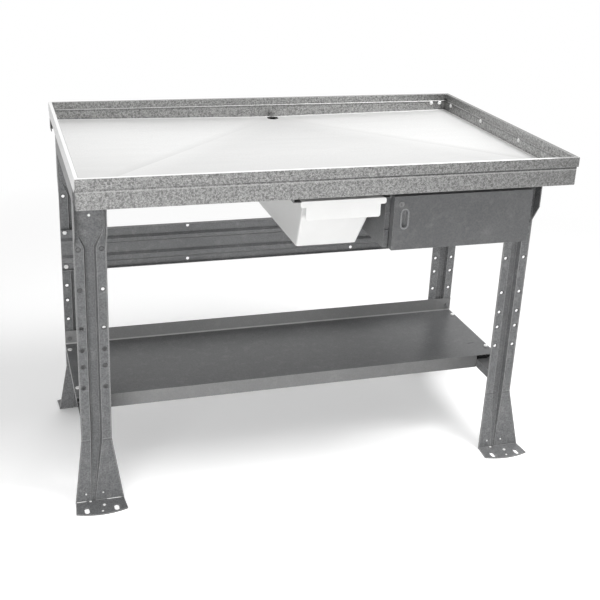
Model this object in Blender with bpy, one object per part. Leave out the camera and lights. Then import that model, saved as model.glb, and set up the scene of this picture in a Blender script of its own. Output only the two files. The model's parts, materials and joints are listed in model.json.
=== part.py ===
"""Drain work table: a folded tray top on four pressed legs, with a lower shelf,
a hung drain pan and a hung storage drawer.

Metres, +Z up, front of the table towards -Y, origin on the floor under the
middle of the tray.
"""
import math

import bmesh
import bpy
from mathutils import Vector

# Overall size
TABLE_WIDTH = 1.2192
TABLE_DEPTH = 0.762
TABLE_HEIGHT = 0.895

# Clearance between neighbours that touch
GAP = 0.0003

# Tray top: rim, hanging nose, inner wall and four-way falling floor
TRAY_SHEET = 0.002
RIM_WIDTH = 0.010
NOSE_DROP = 0.0244
END_NOSE_DROP = 0.037
NOSE_STEP_START = 0.006
NOSE_STEP_END = 0.016
WALL_UPPER = 0.020
WALL_LEDGE = 0.004
DRAIN_REAR_INSET = 0.036
DRAIN_FROM_PAN = 0.022
DRAIN_DEPTH = 0.0545
DRAIN_PAD = 0.016
DRAIN_RADIUS = 0.013
FLOOR_FALL_SHARE = 0.0125
LEFT_FOLD_SHARE = 0.866
RIGHT_FOLD_SHARE = 0.787

# Front and rear aprons
APRON_SETBACK = 0.0055
APRON_END_INSET = 0.0015
APRON_DROP = 0.072
APRON_TONGUE = 0.016
APRON_TONGUE_INSET = 0.009
APRON_END_RETURN = 0.042
FRONT_RETURN = 0.024
REAR_RETURN = 0.010

# Drain outlet under the floor
SPOUT_FLANGE_RADIUS = 0.021
SPOUT_FLANGE = 0.002
SPOUT_BORE = 0.0108
SPOUT_WALL = 0.0019
SPOUT_LENGTH = 0.023

# Legs
LEG_INSET = 0.0441
FRONT_LEG_INSET = 0.171
REAR_LEG_INSET = 0.168
LEG_HALF_WIDTH = 0.0385
LEG_SHEET = 0.0025
LEG_FLANGE = 0.029
LEG_FLANGE_HEIGHT = 0.0755
LEG_LIP = 0.001
LEG_GROOVE_DROP = 0.1205
LEG_GROOVE_HALF = 0.0145
LEG_GROOVE_DEPTH = 0.014
LEG_GROOVE_SLOPE = 0.004
LEG_FLARE_START = 0.158
LEG_FLARE_LEAN = 0.036
FOOT_HALF_WIDTH = 0.0615
FOOT_GROOVE_ASIDE = 0.017
FOOT_GROOVE_HALF = 0.005
FOOT_GROOVE_SLOPE = 0.0015
FOOT_GROOVE_DEPTH = 0.003
FLAT_GROOVE_DEPTH = 0.0006
FLAT_GROOVE_HALF = 0.033
FLAT_GROOVE_SLOPE = 0.001
FOOT_PLATE = 0.003
FOOT_PLATE_SIDE = 0.050
FOOT_PLATE_FRONT = 0.062
FOOT_PLATE_HALF = 0.0645
FOOT_PLATE_ROOT = 0.0015
FOOT_HOLE_X = 0.037
FOOT_HOLE_OUT = 0.041
FOOT_HOLE_RADIUS = 0.006
FOOT_HOLE_REACH = 0.006
LEG_HOLE_X = 0.027
LEG_HOLE_RADIUS = 0.0045
LEG_HOLE_DROP = 0.1245
LEG_HOLE_SHARES = (0.0, 0.2004, 0.3969, 0.5097, 0.5973, 0.7101)

# End channels between tray and legs
END_CHANNEL_HALF = 0.0385
END_CHANNEL_SHEET = 0.002
END_CHANNEL_HEIGHT = 0.0476
END_CHANNEL_TAB_HALF = 0.020
END_CHANNEL_TAB_DROP = 0.0565
END_CHANNEL_TAB = 0.003

# Lower shelf
SHELF_SHEET = 0.0015
SHELF_TOP = 0.229
SHELF_FRONT_SETBACK = 0.100
SHELF_FASCIA_GAP = 0.003
SHELF_FASCIA_HEIGHT = 0.038
SHELF_UPSTAND = 0.041
SHELF_HEM = 0.024
SHELF_BOLT_INSET = 0.009
SHELF_BOLT_FRONT_INSET = 0.049
SHELF_BOLT_REAR_INSET = 0.043
UPSTAND_BOLT_RISE = 0.0175

# Lower rails
RAIL_INNER = 0.0205
RAIL_OUTER = 0.0365
RAIL_LIP = 0.0095
RAIL_SHEET = 0.002
RAIL_HEIGHT = 0.0242
RAIL_DROP = 0.0148
RAIL_PLATE_DROP = 0.025

# Rear stringer
STRINGER_SHEET = 0.0015
STRINGER_REACH = 0.0375
STRINGER_TOP_MARGIN = 0.008
STRINGER_BOTTOM_MARGIN = 0.010
STRINGER_RIB = 0.010
STRINGER_RIB_SLOPE = 0.006
STRINGER_RIB_SHARES = (0.180, 0.380, 0.675, 0.9105)
STRINGER_LIP = 0.012
STRINGER_HOLE_SHARE = 0.20505

# Drain pan and its rails
PAN_WALL = 0.003
PAN_DROP = 0.012
PAN_HEIGHT = 0.151
PAN_HALF_TOP = 0.0925
PAN_HALF_BOTTOM = 0.078
PAN_FRONT_INSET = 0.024
PAN_FRONT_RIM = 0.020
PAN_FRONT_SLOPE = 0.090
PAN_REAR_INSET = 0.009
PAN_REAR_RIM = 0.005
PAN_REAR_SLOPE = 0.017
PAN_RIM_HALF = 0.102
PAN_RIM = 0.003
PAN_FASCIA_HALF = 0.0925
PAN_FASCIA_HEIGHT = 0.047
PAN_CORNER = 0.006
PAN_TAB_HALF = 0.1065
PAN_TAB_HEIGHT = 0.0155
PAN_TAB_CHAMFER = 0.0035
PAN_RAIL_HALF = 0.1217
PAN_RAIL_SHEET = 0.002
PAN_RAIL_FLANGE = 0.0262

# Storage drawer
HOUSING_CLEARANCE = 0.0004
HOUSING_WIDTH = 0.3966
HOUSING_FRONT_INSET = 0.064
HOUSING_DEPTH_MARGIN = 0.262
HOUSING_DROP = 0.057
HOUSING_HEIGHT = 0.170
HOUSING_SHEET = 0.0015
HOUSING_CROSS_HEIGHT = 0.032
HOUSING_FLANGE = 0.0125
DRAWER_FRONT_LEFT_INSET = 0.0135
DRAWER_FRONT_RIGHT_INSET = 0.0106
DRAWER_FRONT_STANDOUT = 0.023
DRAWER_FRONT_DROP = 0.033
DRAWER_FRONT_THICK = 0.0225
DRAWER_SHEET = 0.0015
DRAWER_LIP = 0.012
DRAWER_BOX_SIDE = 0.0135
DRAWER_BOX_RISE = 0.009
DRAWER_BOX_DROP = 0.048
DRAWER_BOX_DEPTH_MARGIN = 0.030
PULL_INSET = 0.029
PULL_RISE = 0.0795
PULL_HALF_WIDTH = 0.0085
PULL_HALF_HEIGHT = 0.0235
PULL_DEPTH = 0.014
PULL_SHEET = 0.001
PULL_FLANGE = 0.003
LOCK_INSET = 0.018
LOCK_DROP = 0.0195
LOCK_RADIUS = 0.006
LOCK_LENGTH = 0.016
LOCK_FACE_RADIUS = 0.0075
LOCK_FACE = 0.0015
LOCK_SLOT_HALF = 0.0006
LOCK_SLOT_HEIGHT_HALF = 0.003

# Drawer slides, three nested members on each side
SLIDE_SHEET = 0.0015
SLIDE_GAP = 0.0005
SLIDE_RISE = 0.068
SLIDE_HALF_HEIGHT = 0.021
SLIDE_REACH = 0.0065
SLIDE_FRONT_SETBACK = 0.005
SLIDE_LENGTH_MARGIN = 0.040

# Hex bolts at the shelf and stringer, smaller ones at the leg tops
BOLT_HEAD_RADIUS = 0.0065
BOLT_HEAD = 0.004
BOLT_SHANK_RADIUS = 0.0036
BOLT_HOLE_RADIUS = 0.0042
BOLT_LENGTH = 0.014
TOP_BOLT_HEAD_RADIUS = 0.0036
TOP_BOLT_HEAD = 0.002
TOP_BOLT_SHANK_RADIUS = 0.0022
TOP_BOLT_HOLE_RADIUS = 0.0026
TOP_BOLT_DROP = 0.0395

# Extra length of a cutter past the sheet it goes through
CUT_MARGIN = 0.006

# Places along the table that follow from its width
LEG_CENTRE_X = TABLE_WIDTH / 2 - LEG_INSET
LEG_BOLT_X = LEG_CENTRE_X + LEG_HOLE_X
RAIL_INNER_X = LEG_CENTRE_X - RAIL_INNER
RAIL_OUTER_X = LEG_CENTRE_X + RAIL_OUTER
RAIL_LIP_X = LEG_CENTRE_X + RAIL_LIP
SHELF_HALF_WIDTH = LEG_CENTRE_X + LEG_HALF_WIDTH
SHELF_FASCIA_HALF = RAIL_INNER_X - SHELF_FASCIA_GAP
SHELF_BOLT_X = SHELF_HALF_WIDTH - SHELF_BOLT_INSET
STRINGER_HALF_WIDTH = LEG_CENTRE_X + STRINGER_REACH
STRINGER_HOLE_X = STRINGER_HOLE_SHARE * TABLE_WIDTH
HOUSING_RIGHT = LEG_CENTRE_X - LEG_HALF_WIDTH - HOUSING_CLEARANCE
HOUSING_LEFT = HOUSING_RIGHT - HOUSING_WIDTH
DRAWER_FRONT_LEFT = HOUSING_LEFT + DRAWER_FRONT_LEFT_INSET
DRAWER_FRONT_RIGHT = HOUSING_RIGHT - DRAWER_FRONT_RIGHT_INSET
PULL_X = DRAWER_FRONT_LEFT + PULL_INSET
LOCK_X = DRAWER_FRONT_LEFT + LOCK_INSET
PAN_CENTRE_X = HOUSING_LEFT - GAP - PAN_RAIL_HALF
DRAIN_X = PAN_CENTRE_X + DRAIN_FROM_PAN

# Floor folds: run from front to rear for each unit along the table
LEFT_FOLD = LEFT_FOLD_SHARE * TABLE_DEPTH / (TABLE_WIDTH / 2 - RIM_WIDTH - WALL_LEDGE + DRAIN_X)
RIGHT_FOLD = RIGHT_FOLD_SHARE * TABLE_DEPTH / (TABLE_WIDTH / 2 - RIM_WIDTH - WALL_LEDGE - DRAIN_X)
END_CHANNEL_INNER_X = LEG_CENTRE_X - END_CHANNEL_HALF
END_CHANNEL_RISE = FLOOR_FALL_SHARE * min(
    LEFT_FOLD * (END_CHANNEL_INNER_X + DRAIN_X), RIGHT_FOLD * (END_CHANNEL_INNER_X - DRAIN_X)
)

# Heights that follow from the table's height
APRON_BOTTOM = TABLE_HEIGHT - APRON_DROP
END_CHANNEL_TOP = TABLE_HEIGHT - DRAIN_DEPTH + END_CHANNEL_RISE - TRAY_SHEET - GAP
END_CHANNEL_BOTTOM = END_CHANNEL_TOP - END_CHANNEL_HEIGHT
LEG_TOP = END_CHANNEL_BOTTOM - GAP
LEG_FLANGE_END = LEG_TOP - LEG_FLANGE_HEIGHT
LEG_GROOVE_START = LEG_TOP - LEG_GROOVE_DROP
END_CHANNEL_TAB_BOTTOM = LEG_TOP - END_CHANNEL_TAB_DROP
TOP_BOLT_Z = LEG_TOP - TOP_BOLT_DROP
LEG_HOLE_TOP = LEG_TOP - LEG_HOLE_DROP
LEG_HOLE_ROWS = tuple(
    LEG_HOLE_TOP - share * (LEG_HOLE_TOP - LEG_FLARE_START) for share in LEG_HOLE_SHARES
)
STRINGER_BOLT_ROWS = LEG_HOLE_ROWS[1:3]
STRINGER_TOP = STRINGER_BOLT_ROWS[0] + STRINGER_TOP_MARGIN
STRINGER_BOTTOM = STRINGER_BOLT_ROWS[1] - STRINGER_BOTTOM_MARGIN
PAN_TOP = APRON_BOTTOM - PAN_DROP
PAN_BOTTOM = PAN_TOP - PAN_HEIGHT
HOUSING_TOP = TABLE_HEIGHT - HOUSING_DROP
HOUSING_BOTTOM = HOUSING_TOP - HOUSING_HEIGHT
DRAWER_FRONT_TOP = HOUSING_TOP - DRAWER_FRONT_DROP
DRAWER_BOX_TOP = HOUSING_TOP - DRAWER_BOX_DROP
DRAWER_BOX_BOTTOM = HOUSING_BOTTOM + DRAWER_BOX_RISE
PULL_Z = HOUSING_BOTTOM + PULL_RISE
LOCK_Z = DRAWER_FRONT_TOP - LOCK_DROP
SLIDE_CENTRE_Z = HOUSING_BOTTOM + SLIDE_RISE
HOUSING_FLANGE_LOW = SLIDE_CENTRE_Z - SLIDE_HALF_HEIGHT - SLIDE_GAP
HOUSING_FLANGE_HIGH = SLIDE_CENTRE_Z + SLIDE_HALF_HEIGHT + SLIDE_GAP

# Heights that follow from the shelf's height
RAIL_TOP = SHELF_TOP - RAIL_DROP
RAIL_BOTTOM = RAIL_TOP - RAIL_HEIGHT
RAIL_PLATE_BOTTOM = RAIL_BOTTOM - RAIL_PLATE_DROP
SHELF_FASCIA_BOTTOM = SHELF_TOP - SHELF_FASCIA_HEIGHT
SHELF_UPSTAND_TOP = SHELF_TOP + SHELF_UPSTAND
UPSTAND_BOLT_Z = SHELF_TOP + UPSTAND_BOLT_RISE

# Places from front to rear that follow from the table's depth
FRONT_LEG_Y = FRONT_LEG_INSET - TABLE_DEPTH / 2
REAR_LEG_Y = TABLE_DEPTH / 2 - REAR_LEG_INSET
SHELF_FRONT_Y = FRONT_LEG_Y + SHELF_FRONT_SETBACK
SHELF_BOLT_FRONT_Y = SHELF_FRONT_Y + SHELF_BOLT_FRONT_INSET
SHELF_BOLT_REAR_Y = REAR_LEG_Y - SHELF_BOLT_REAR_INSET
DRAIN_Y = TABLE_DEPTH / 2 - DRAIN_REAR_INSET
PAN_RIM_FRONT_Y = PAN_FRONT_INSET - TABLE_DEPTH / 2
PAN_FRONT_TOP_Y = PAN_RIM_FRONT_Y + PAN_FRONT_RIM
PAN_FRONT_BOTTOM_Y = PAN_FRONT_TOP_Y + PAN_FRONT_SLOPE
PAN_RIM_REAR_Y = TABLE_DEPTH / 2 - PAN_REAR_INSET
PAN_REAR_TOP_Y = PAN_RIM_REAR_Y - PAN_REAR_RIM
PAN_REAR_BOTTOM_Y = PAN_REAR_TOP_Y - PAN_REAR_SLOPE
HOUSING_FRONT_Y = HOUSING_FRONT_INSET - TABLE_DEPTH / 2
HOUSING_DEPTH = TABLE_DEPTH - HOUSING_DEPTH_MARGIN
DRAWER_FRONT_Y = HOUSING_FRONT_Y - DRAWER_FRONT_STANDOUT
DRAWER_BOX_DEPTH = HOUSING_DEPTH - DRAWER_BOX_DEPTH_MARGIN
SLIDE_FRONT_Y = HOUSING_FRONT_Y + SLIDE_FRONT_SETBACK
SLIDE_LENGTH = HOUSING_DEPTH - SLIDE_LENGTH_MARGIN

ROUND_SIDES = 24
HOLE_SIDES = 16
SMOOTH_ANGLE = math.radians(35)

SIDES = (("left", -1), ("right", 1))
MATERIALS = {}


def clear_scene():
    for obj in list(bpy.data.objects):
        bpy.data.objects.remove(obj, do_unlink=True)


def material(name, colour, roughness, metallic):
    mat = bpy.data.materials.new(name)
    mat.use_nodes = True
    shader = mat.node_tree.nodes["Principled BSDF"]
    shader.inputs["Base Color"].default_value = (*colour, 1.0)
    shader.inputs["Roughness"].default_value = roughness
    shader.inputs["Metallic"].default_value = metallic
    mat.diffuse_color = (*colour, 1.0)
    MATERIALS[name] = mat


def make_materials():
    material("brushed_stainless", (0.62, 0.62, 0.61), 0.32, 1.0)
    material("grey_paint", (0.17, 0.175, 0.18), 0.36, 0.0)
    material("white_plastic", (0.88, 0.88, 0.87), 0.42, 0.0)
    material("zinc_steel", (0.60, 0.61, 0.62), 0.35, 1.0)
    material("slide_steel", (0.45, 0.46, 0.47), 0.30, 1.0)
    material("satin_chrome", (0.70, 0.70, 0.70), 0.25, 1.0)


def finish(name, bm, origin, mat, smooth=False):
    """Turn a bmesh in table coordinates into an object with its own origin."""
    bmesh.ops.translate(bm, verts=bm.verts, vec=-Vector(origin))
    bmesh.ops.recalc_face_normals(bm, faces=bm.faces)
    mesh = bpy.data.meshes.new(name)
    bm.to_mesh(mesh)
    bm.free()
    if smooth:
        mesh.shade_smooth()
        mesh.set_sharp_from_angle(angle=SMOOTH_ANGLE)
    obj = bpy.data.objects.new(name, mesh)
    obj.location = origin
    mesh.materials.append(MATERIALS[mat])
    bpy.context.scene.collection.objects.link(obj)
    return obj


def levels(values):
    """Sorted distinct coordinates."""
    out = []
    for value in sorted(values):
        if not out or value - out[-1] > GAP / 10:
            out.append(value)
    return out


def nearest(values, value):
    return min(range(len(values)), key=lambda i: abs(values[i] - value))


def block_union(boxes):
    """One closed skin around overlapping boxes (x0, x1, y0, y1, z0, z1)."""
    axes = [levels([v for box in boxes for v in box[2 * a:2 * a + 2]]) for a in range(3)]
    filled = set()
    for box in boxes:
        spans = []
        for a in range(3):
            low = nearest(axes[a], box[2 * a])
            high = nearest(axes[a], box[2 * a + 1])
            spans.append(range(low, high))
        filled.update((i, j, k) for i in spans[0] for j in spans[1] for k in spans[2])
    bm = bmesh.new()
    verts = {}

    def corner(index):
        if index not in verts:
            verts[index] = bm.verts.new([axes[a][index[a]] for a in range(3)])
        return verts[index]

    for cell in filled:
        for a in range(3):
            b, c = (a + 1) % 3, (a + 2) % 3
            for step in (-1, 1):
                other = list(cell)
                other[a] += step
                if tuple(other) in filled:
                    continue
                base = list(cell)
                base[a] += (step + 1) // 2
                loop = []
                for db, dc in ((0, 0), (1, 0), (1, 1), (0, 1)):
                    index = list(base)
                    index[b] += db
                    index[c] += dc
                    loop.append(corner(tuple(index)))
                bm.faces.new(loop if step > 0 else loop[::-1])
    bmesh.ops.dissolve_limit(bm, angle_limit=math.radians(0.5), verts=bm.verts, edges=bm.edges)
    bmesh.ops.triangulate(bm, faces=bm.faces)
    return bm


def blocks(name, boxes, origin, mat):
    return finish(name, block_union(boxes), origin, mat)


def mirrored(box, sign):
    """A box given for the right-hand side, flipped for the left."""
    if sign > 0:
        return box
    return (-box[1], -box[0], *box[2:])


def bridge(bm, ring_a, ring_b):
    count = len(ring_a)
    for i in range(count):
        j = (i + 1) % count
        bm.faces.new((ring_a[i], ring_a[j], ring_b[j], ring_b[i]))


def loft(rings, capped=True):
    """Closed skin through rings of points with equal counts."""
    bm = bmesh.new()
    made = [[bm.verts.new(p) for p in ring] for ring in rings]
    for ring_a, ring_b in zip(made, made[1:]):
        bridge(bm, ring_a, ring_b)
    if capped:
        bm.faces.new(made[0][::-1])
        bm.faces.new(made[-1])
    else:
        bridge(bm, made[-1], made[0])
    bmesh.ops.triangulate(bm, faces=bm.faces)
    return bm


def along(axis, u, v, w):
    """Point with w on the named axis and u, v on the next two."""
    return {"X": (w, u, v), "Y": (u, w, v), "Z": (u, v, w)}[axis]


def circle(radius, sides=ROUND_SIDES):
    step = 2 * math.pi / sides
    return [(radius * math.cos(i * step), radius * math.sin(i * step)) for i in range(sides)]


def lathe(name, axis, centre, stations, mat, sides=ROUND_SIDES, capped=True):
    """Round piece; stations are (distance along the axis, radius)."""
    rings = []
    for distance, radius in stations:
        ring = []
        for u, v in circle(radius, sides):
            offset = along(axis, u, v, distance)
            ring.append(tuple(c + o for c, o in zip(centre, offset)))
        rings.append(ring)
    return finish(name, loft(rings, capped), centre, mat, smooth=True)


def cut(target, label, shapes):
    """Subtract prisms (axis, outline, low, high) from the target."""
    bm = bmesh.new()
    for axis, outline, low, high in shapes:
        ends = [[bm.verts.new(along(axis, u, v, w)) for u, v in outline] for w in (low, high)]
        bridge(bm, ends[0], ends[1])
        bm.faces.new(ends[0][::-1])
        bm.faces.new(ends[1])
    bmesh.ops.recalc_face_normals(bm, faces=bm.faces)
    mesh = bpy.data.meshes.new(label)
    bm.to_mesh(mesh)
    bm.free()
    cutter = bpy.data.objects.new(label, mesh)
    cutter.hide_render = True
    cutter.display_type = "WIRE"
    bpy.context.scene.collection.objects.link(cutter)
    modifier = target.modifiers.new(label, "BOOLEAN")
    modifier.operation = "DIFFERENCE"
    modifier.solver = "EXACT"
    modifier.object = cutter


def hole(axis, u, v, radius, low, high):
    outline = [(u + du, v + dv) for du, dv in circle(radius, HOLE_SIDES)]
    return (axis, outline, low - CUT_MARGIN, high + CUT_MARGIN)


def slot(axis, u, v, radius, reach, low, high):
    """Long hole: a half round at each end, their centres at a reach along v."""
    half = HOLE_SIDES // 2
    outline = []
    for sign in (1, -1):
        for i in range(half + 1):
            angle = math.pi * i / half
            du = sign * radius * math.cos(angle)
            dv = sign * (reach + radius * math.sin(angle))
            outline.append((u + du, v + dv))
    return (axis, outline, low - CUT_MARGIN, high + CUT_MARGIN)


def floor_height(x, y):
    """Tray floor: four planes that fall to the drain and meet on the folds."""
    run = max(LEFT_FOLD * (DRAIN_X - x), RIGHT_FOLD * (x - DRAIN_X), abs(y - DRAIN_Y))
    return TABLE_HEIGHT - DRAIN_DEPTH + FLOOR_FALL_SHARE * run


def tray_ring(inset, height):
    """Sixteen points round the tray at an inset from its outside."""
    hx = TABLE_WIDTH / 2 - inset
    hy = TABLE_DEPTH / 2 - inset
    near = TABLE_DEPTH / 2 - NOSE_STEP_START - RIM_WIDTH
    far = TABLE_DEPTH / 2 - NOSE_STEP_END - RIM_WIDTH
    left_fold = DRAIN_Y - (hx + DRAIN_X) * LEFT_FOLD
    right_fold = DRAIN_Y - (hx - DRAIN_X) * RIGHT_FOLD
    rear_left = DRAIN_X - (hy - DRAIN_Y) / LEFT_FOLD
    rear_right = DRAIN_X + (hy - DRAIN_Y) / RIGHT_FOLD
    plan = [(-hx, -hy), (hx, -hy)]
    plan += [(hx, y) for y in (-near, -far, right_fold, far, near)]
    plan += [(hx, hy), (rear_right, hy), (rear_left, hy), (-hx, hy)]
    plan += [(-hx, y) for y in (near, far, left_fold, -far, -near)]
    return [(x, y, height(x, y, i)) for i, (x, y) in enumerate(plan)]


def nose_bottom(x, y, index):
    deep = index in (3, 4, 5, 12, 13, 14)
    return TABLE_HEIGHT - (END_NOSE_DROP if deep else NOSE_DROP)


def tray_floor(bm, ring, drop):
    """Front, right, rear and left floor folds with the flat drain pad."""
    pad = []
    for dx, dy in ((-1, -1), (1, -1), (1, 1), (-1, 1)):
        x = DRAIN_X + dx * DRAIN_PAD / (LEFT_FOLD if dx < 0 else RIGHT_FOLD)
        y = DRAIN_Y + dy * DRAIN_PAD
        pad.append(bm.verts.new((x, y, floor_height(x, y) - drop)))
    front_left, front_right, rear_right, rear_left = pad
    bm.faces.new([ring[14], ring[15], *ring[0:5], front_right, front_left, ring[13]])
    bm.faces.new([*ring[4:9], rear_right, front_right])
    bm.faces.new([ring[8], ring[9], rear_left, rear_right])
    bm.faces.new([*ring[9:14], front_left, rear_left])
    bm.faces.new(pad)


def make_tray():
    wall = RIM_WIDTH
    lower = RIM_WIDTH + WALL_LEDGE
    top = TABLE_HEIGHT
    ledge = TABLE_HEIGHT - WALL_UPPER
    sheet = TRAY_SHEET
    rings = [
        tray_ring(lower - sheet, lambda x, y, i: floor_height(x, y) - sheet),
        tray_ring(lower - sheet, lambda x, y, i: ledge - sheet),
        tray_ring(wall - sheet, lambda x, y, i: ledge - sheet),
        tray_ring(wall - sheet, lambda x, y, i: top - sheet),
        tray_ring(sheet, lambda x, y, i: top - sheet),
        tray_ring(sheet, nose_bottom),
        tray_ring(0, nose_bottom),
        tray_ring(0, lambda x, y, i: top),
        tray_ring(wall, lambda x, y, i: top),
        tray_ring(wall, lambda x, y, i: ledge),
        tray_ring(lower, lambda x, y, i: ledge),
        tray_ring(lower, lambda x, y, i: floor_height(x, y)),
    ]
    bm = bmesh.new()
    made = [[bm.verts.new(p) for p in ring] for ring in rings]
    for ring_a, ring_b in zip(made, made[1:]):
        bridge(bm, ring_a, ring_b)
    tray_floor(bm, made[0], sheet)
    tray_floor(bm, made[-1], 0)
    bmesh.ops.triangulate(bm, faces=bm.faces)
    tray = finish("tray_top", bm, (0, 0, TABLE_HEIGHT), "brushed_stainless")
    low = TABLE_HEIGHT - DRAIN_DEPTH
    cut(tray, "drain_cutter", [hole("Z", DRAIN_X, DRAIN_Y, DRAIN_RADIUS, low, low)])


def make_apron(name, sign, depth):
    """Apron on the front (sign -1) or rear (sign 1), folded from one sheet."""
    face = TABLE_DEPTH / 2 - APRON_SETBACK
    back = face - TRAY_SHEET
    half = TABLE_WIDTH / 2 - APRON_END_INSET
    nose = TABLE_HEIGHT - NOSE_DROP - GAP
    tongue = half - APRON_TONGUE_INSET
    inner = half - TRAY_SHEET
    spans = [
        (-half, half, back, face, APRON_BOTTOM, nose),
        (-tongue, tongue, back, face, APRON_BOTTOM, nose + APRON_TONGUE),
        (-half, half, back - depth, face, APRON_BOTTOM, APRON_BOTTOM + TRAY_SHEET),
        (inner, half, back - APRON_END_RETURN, face, APRON_BOTTOM, nose - END_NOSE_DROP + NOSE_DROP),
        (-half, -inner, back - APRON_END_RETURN, face, APRON_BOTTOM, nose - END_NOSE_DROP + NOSE_DROP),
    ]
    boxes = []
    for x0, x1, y0, y1, z0, z1 in spans:
        low, high = sorted((sign * y0, sign * y1))
        boxes.append((x0, x1, low, high, z0, z1))
    blocks(name, boxes, (0, sign * face, APRON_BOTTOM), "brushed_stainless")


def make_spout():
    """Flanged outlet tube under the drain hole, open all the way through."""
    pad = floor_height(DRAIN_X, DRAIN_Y + DRAIN_PAD)
    top = pad - TRAY_SHEET - GAP
    outer = SPOUT_BORE + SPOUT_WALL
    stations = [
        (0, SPOUT_BORE),
        (0, SPOUT_FLANGE_RADIUS),
        (-SPOUT_FLANGE, SPOUT_FLANGE_RADIUS),
        (-SPOUT_FLANGE, outer),
        (-SPOUT_LENGTH, outer),
        (-SPOUT_LENGTH, SPOUT_BORE),
    ]
    lathe("drain_spout", "Z", (DRAIN_X, DRAIN_Y, top), stations, "zinc_steel", capped=False)


def leg_section(z, shift, half, flange, aside, groove, slope, depth, out):
    """Sheet outline of a leg at one height; the groove opens to the front."""
    sheet = LEG_SHEET
    front = 0.0
    back = sheet
    left = -aside - groove
    right = -aside + groove
    floor = [(right - slope, depth), (left + slope, depth)]
    rear = [(left + slope - sheet, back + depth), (right - slope + sheet, back + depth)]
    if out < 0:
        tip = front - flange
        points = [
            (half - sheet, front), (right, front), *floor, (left, front),
            (-half + sheet, front), (-half + sheet, tip), (-half, tip), (-half, back),
            (left - sheet, back), *rear, (right + sheet, back),
            (half, back), (half, tip), (half - sheet, tip),
        ]
    else:
        tip = back + flange
        points = [
            (half, front), (right, front), *floor, (left, front),
            (-half, front), (-half, tip), (-half + sheet, tip), (-half + sheet, back),
            (left - sheet, back), *rear, (right + sheet, back),
            (half - sheet, back), (half - sheet, tip), (half, tip),
        ]
    return [(x, y + shift, z) for x, y in points]


def leg_mesh(out):
    """Pressed leg: flanged top, grooved shank, flared foot; the groove runs out to the left."""
    flat = (0, FLAT_GROOVE_HALF, FLAT_GROOVE_SLOPE, FLAT_GROOVE_DEPTH)
    grooved = (0, LEG_GROOVE_HALF, LEG_GROOVE_SLOPE, LEG_GROOVE_DEPTH)
    closed = (FOOT_GROOVE_ASIDE, FOOT_GROOVE_HALF, FOOT_GROOVE_SLOPE, FOOT_GROOVE_DEPTH)
    lean = out * LEG_FLARE_LEAN
    rings = [
        leg_section(LEG_TOP, 0, LEG_HALF_WIDTH, LEG_FLANGE, *flat, out),
        leg_section(LEG_FLANGE_END, 0, LEG_HALF_WIDTH, LEG_FLANGE, *flat, out),
        leg_section(LEG_GROOVE_START, 0, LEG_HALF_WIDTH, LEG_LIP, *grooved, out),
        leg_section(LEG_FLARE_START, 0, LEG_HALF_WIDTH, LEG_LIP, *grooved, out),
        leg_section(0, lean, FOOT_HALF_WIDTH, LEG_LIP, *closed, out),
    ]
    return loft(rings)


def foot_outline(out):
    """Bolt-down plate: straight sides and a bowed outer edge."""
    crease = out * LEG_FLARE_LEAN
    inner = crease + (LEG_SHEET - FOOT_PLATE_ROOT if out < 0 else FOOT_PLATE_ROOT)
    side = crease + out * FOOT_PLATE_SIDE
    bow = out * (FOOT_PLATE_FRONT - FOOT_PLATE_SIDE)
    inset = LEG_SHEET / 2
    points = [(-FOOT_HALF_WIDTH + inset, inner), (FOOT_HALF_WIDTH - inset, inner)]
    steps = 12
    for i in range(steps + 1):
        share = 1 - 2 * i / steps
        points.append((FOOT_PLATE_HALF * share, side + bow * (1 - share * share)))
    return points


def make_leg(name, side, plane, out):
    """Leg with its foot plate; out is -1 for a front leg and 1 for a rear leg."""
    centre = (side * LEG_CENTRE_X, plane, 0)
    bm = leg_mesh(out)
    bmesh.ops.translate(bm, verts=bm.verts, vec=Vector(centre))
    leg = finish(name, bm, centre, "grey_paint")
    outline = [(centre[0] + x, centre[1] + y) for x, y in foot_outline(out)]
    plate_bm = loft([[(x, y, z) for x, y in outline] for z in (0, FOOT_PLATE)])
    plate = finish(name + "_plate", plate_bm, (0, 0, 0), "grey_paint")
    plate.hide_render = True
    plate.display_type = "WIRE"
    union = leg.modifiers.new("foot_plate", "BOOLEAN")
    union.operation = "UNION"
    union.solver = "EXACT"
    union.object = plate
    low = plane - LEG_SHEET
    high = plane + 2 * LEG_SHEET
    shapes = []
    for row in LEG_HOLE_ROWS:
        for x in (-LEG_HOLE_X, LEG_HOLE_X):
            shapes.append(hole("Y", centre[0] + x, row, LEG_HOLE_RADIUS, low, high))
    shapes.append(hole("Y", centre[0], TOP_BOLT_Z, TOP_BOLT_HOLE_RADIUS, low, high))
    if out > 0:
        shapes.append(hole("Y", side * LEG_BOLT_X, UPSTAND_BOLT_Z, BOLT_HOLE_RADIUS, low, high))
    for x in (-FOOT_HOLE_X, FOOT_HOLE_X):
        y = plane + out * (LEG_FLARE_LEAN + FOOT_HOLE_OUT)
        shapes.append(slot("Z", centre[0] + x, y, FOOT_HOLE_RADIUS, FOOT_HOLE_REACH, 0, FOOT_PLATE))
    cut(leg, name + "_holes", shapes)


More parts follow.
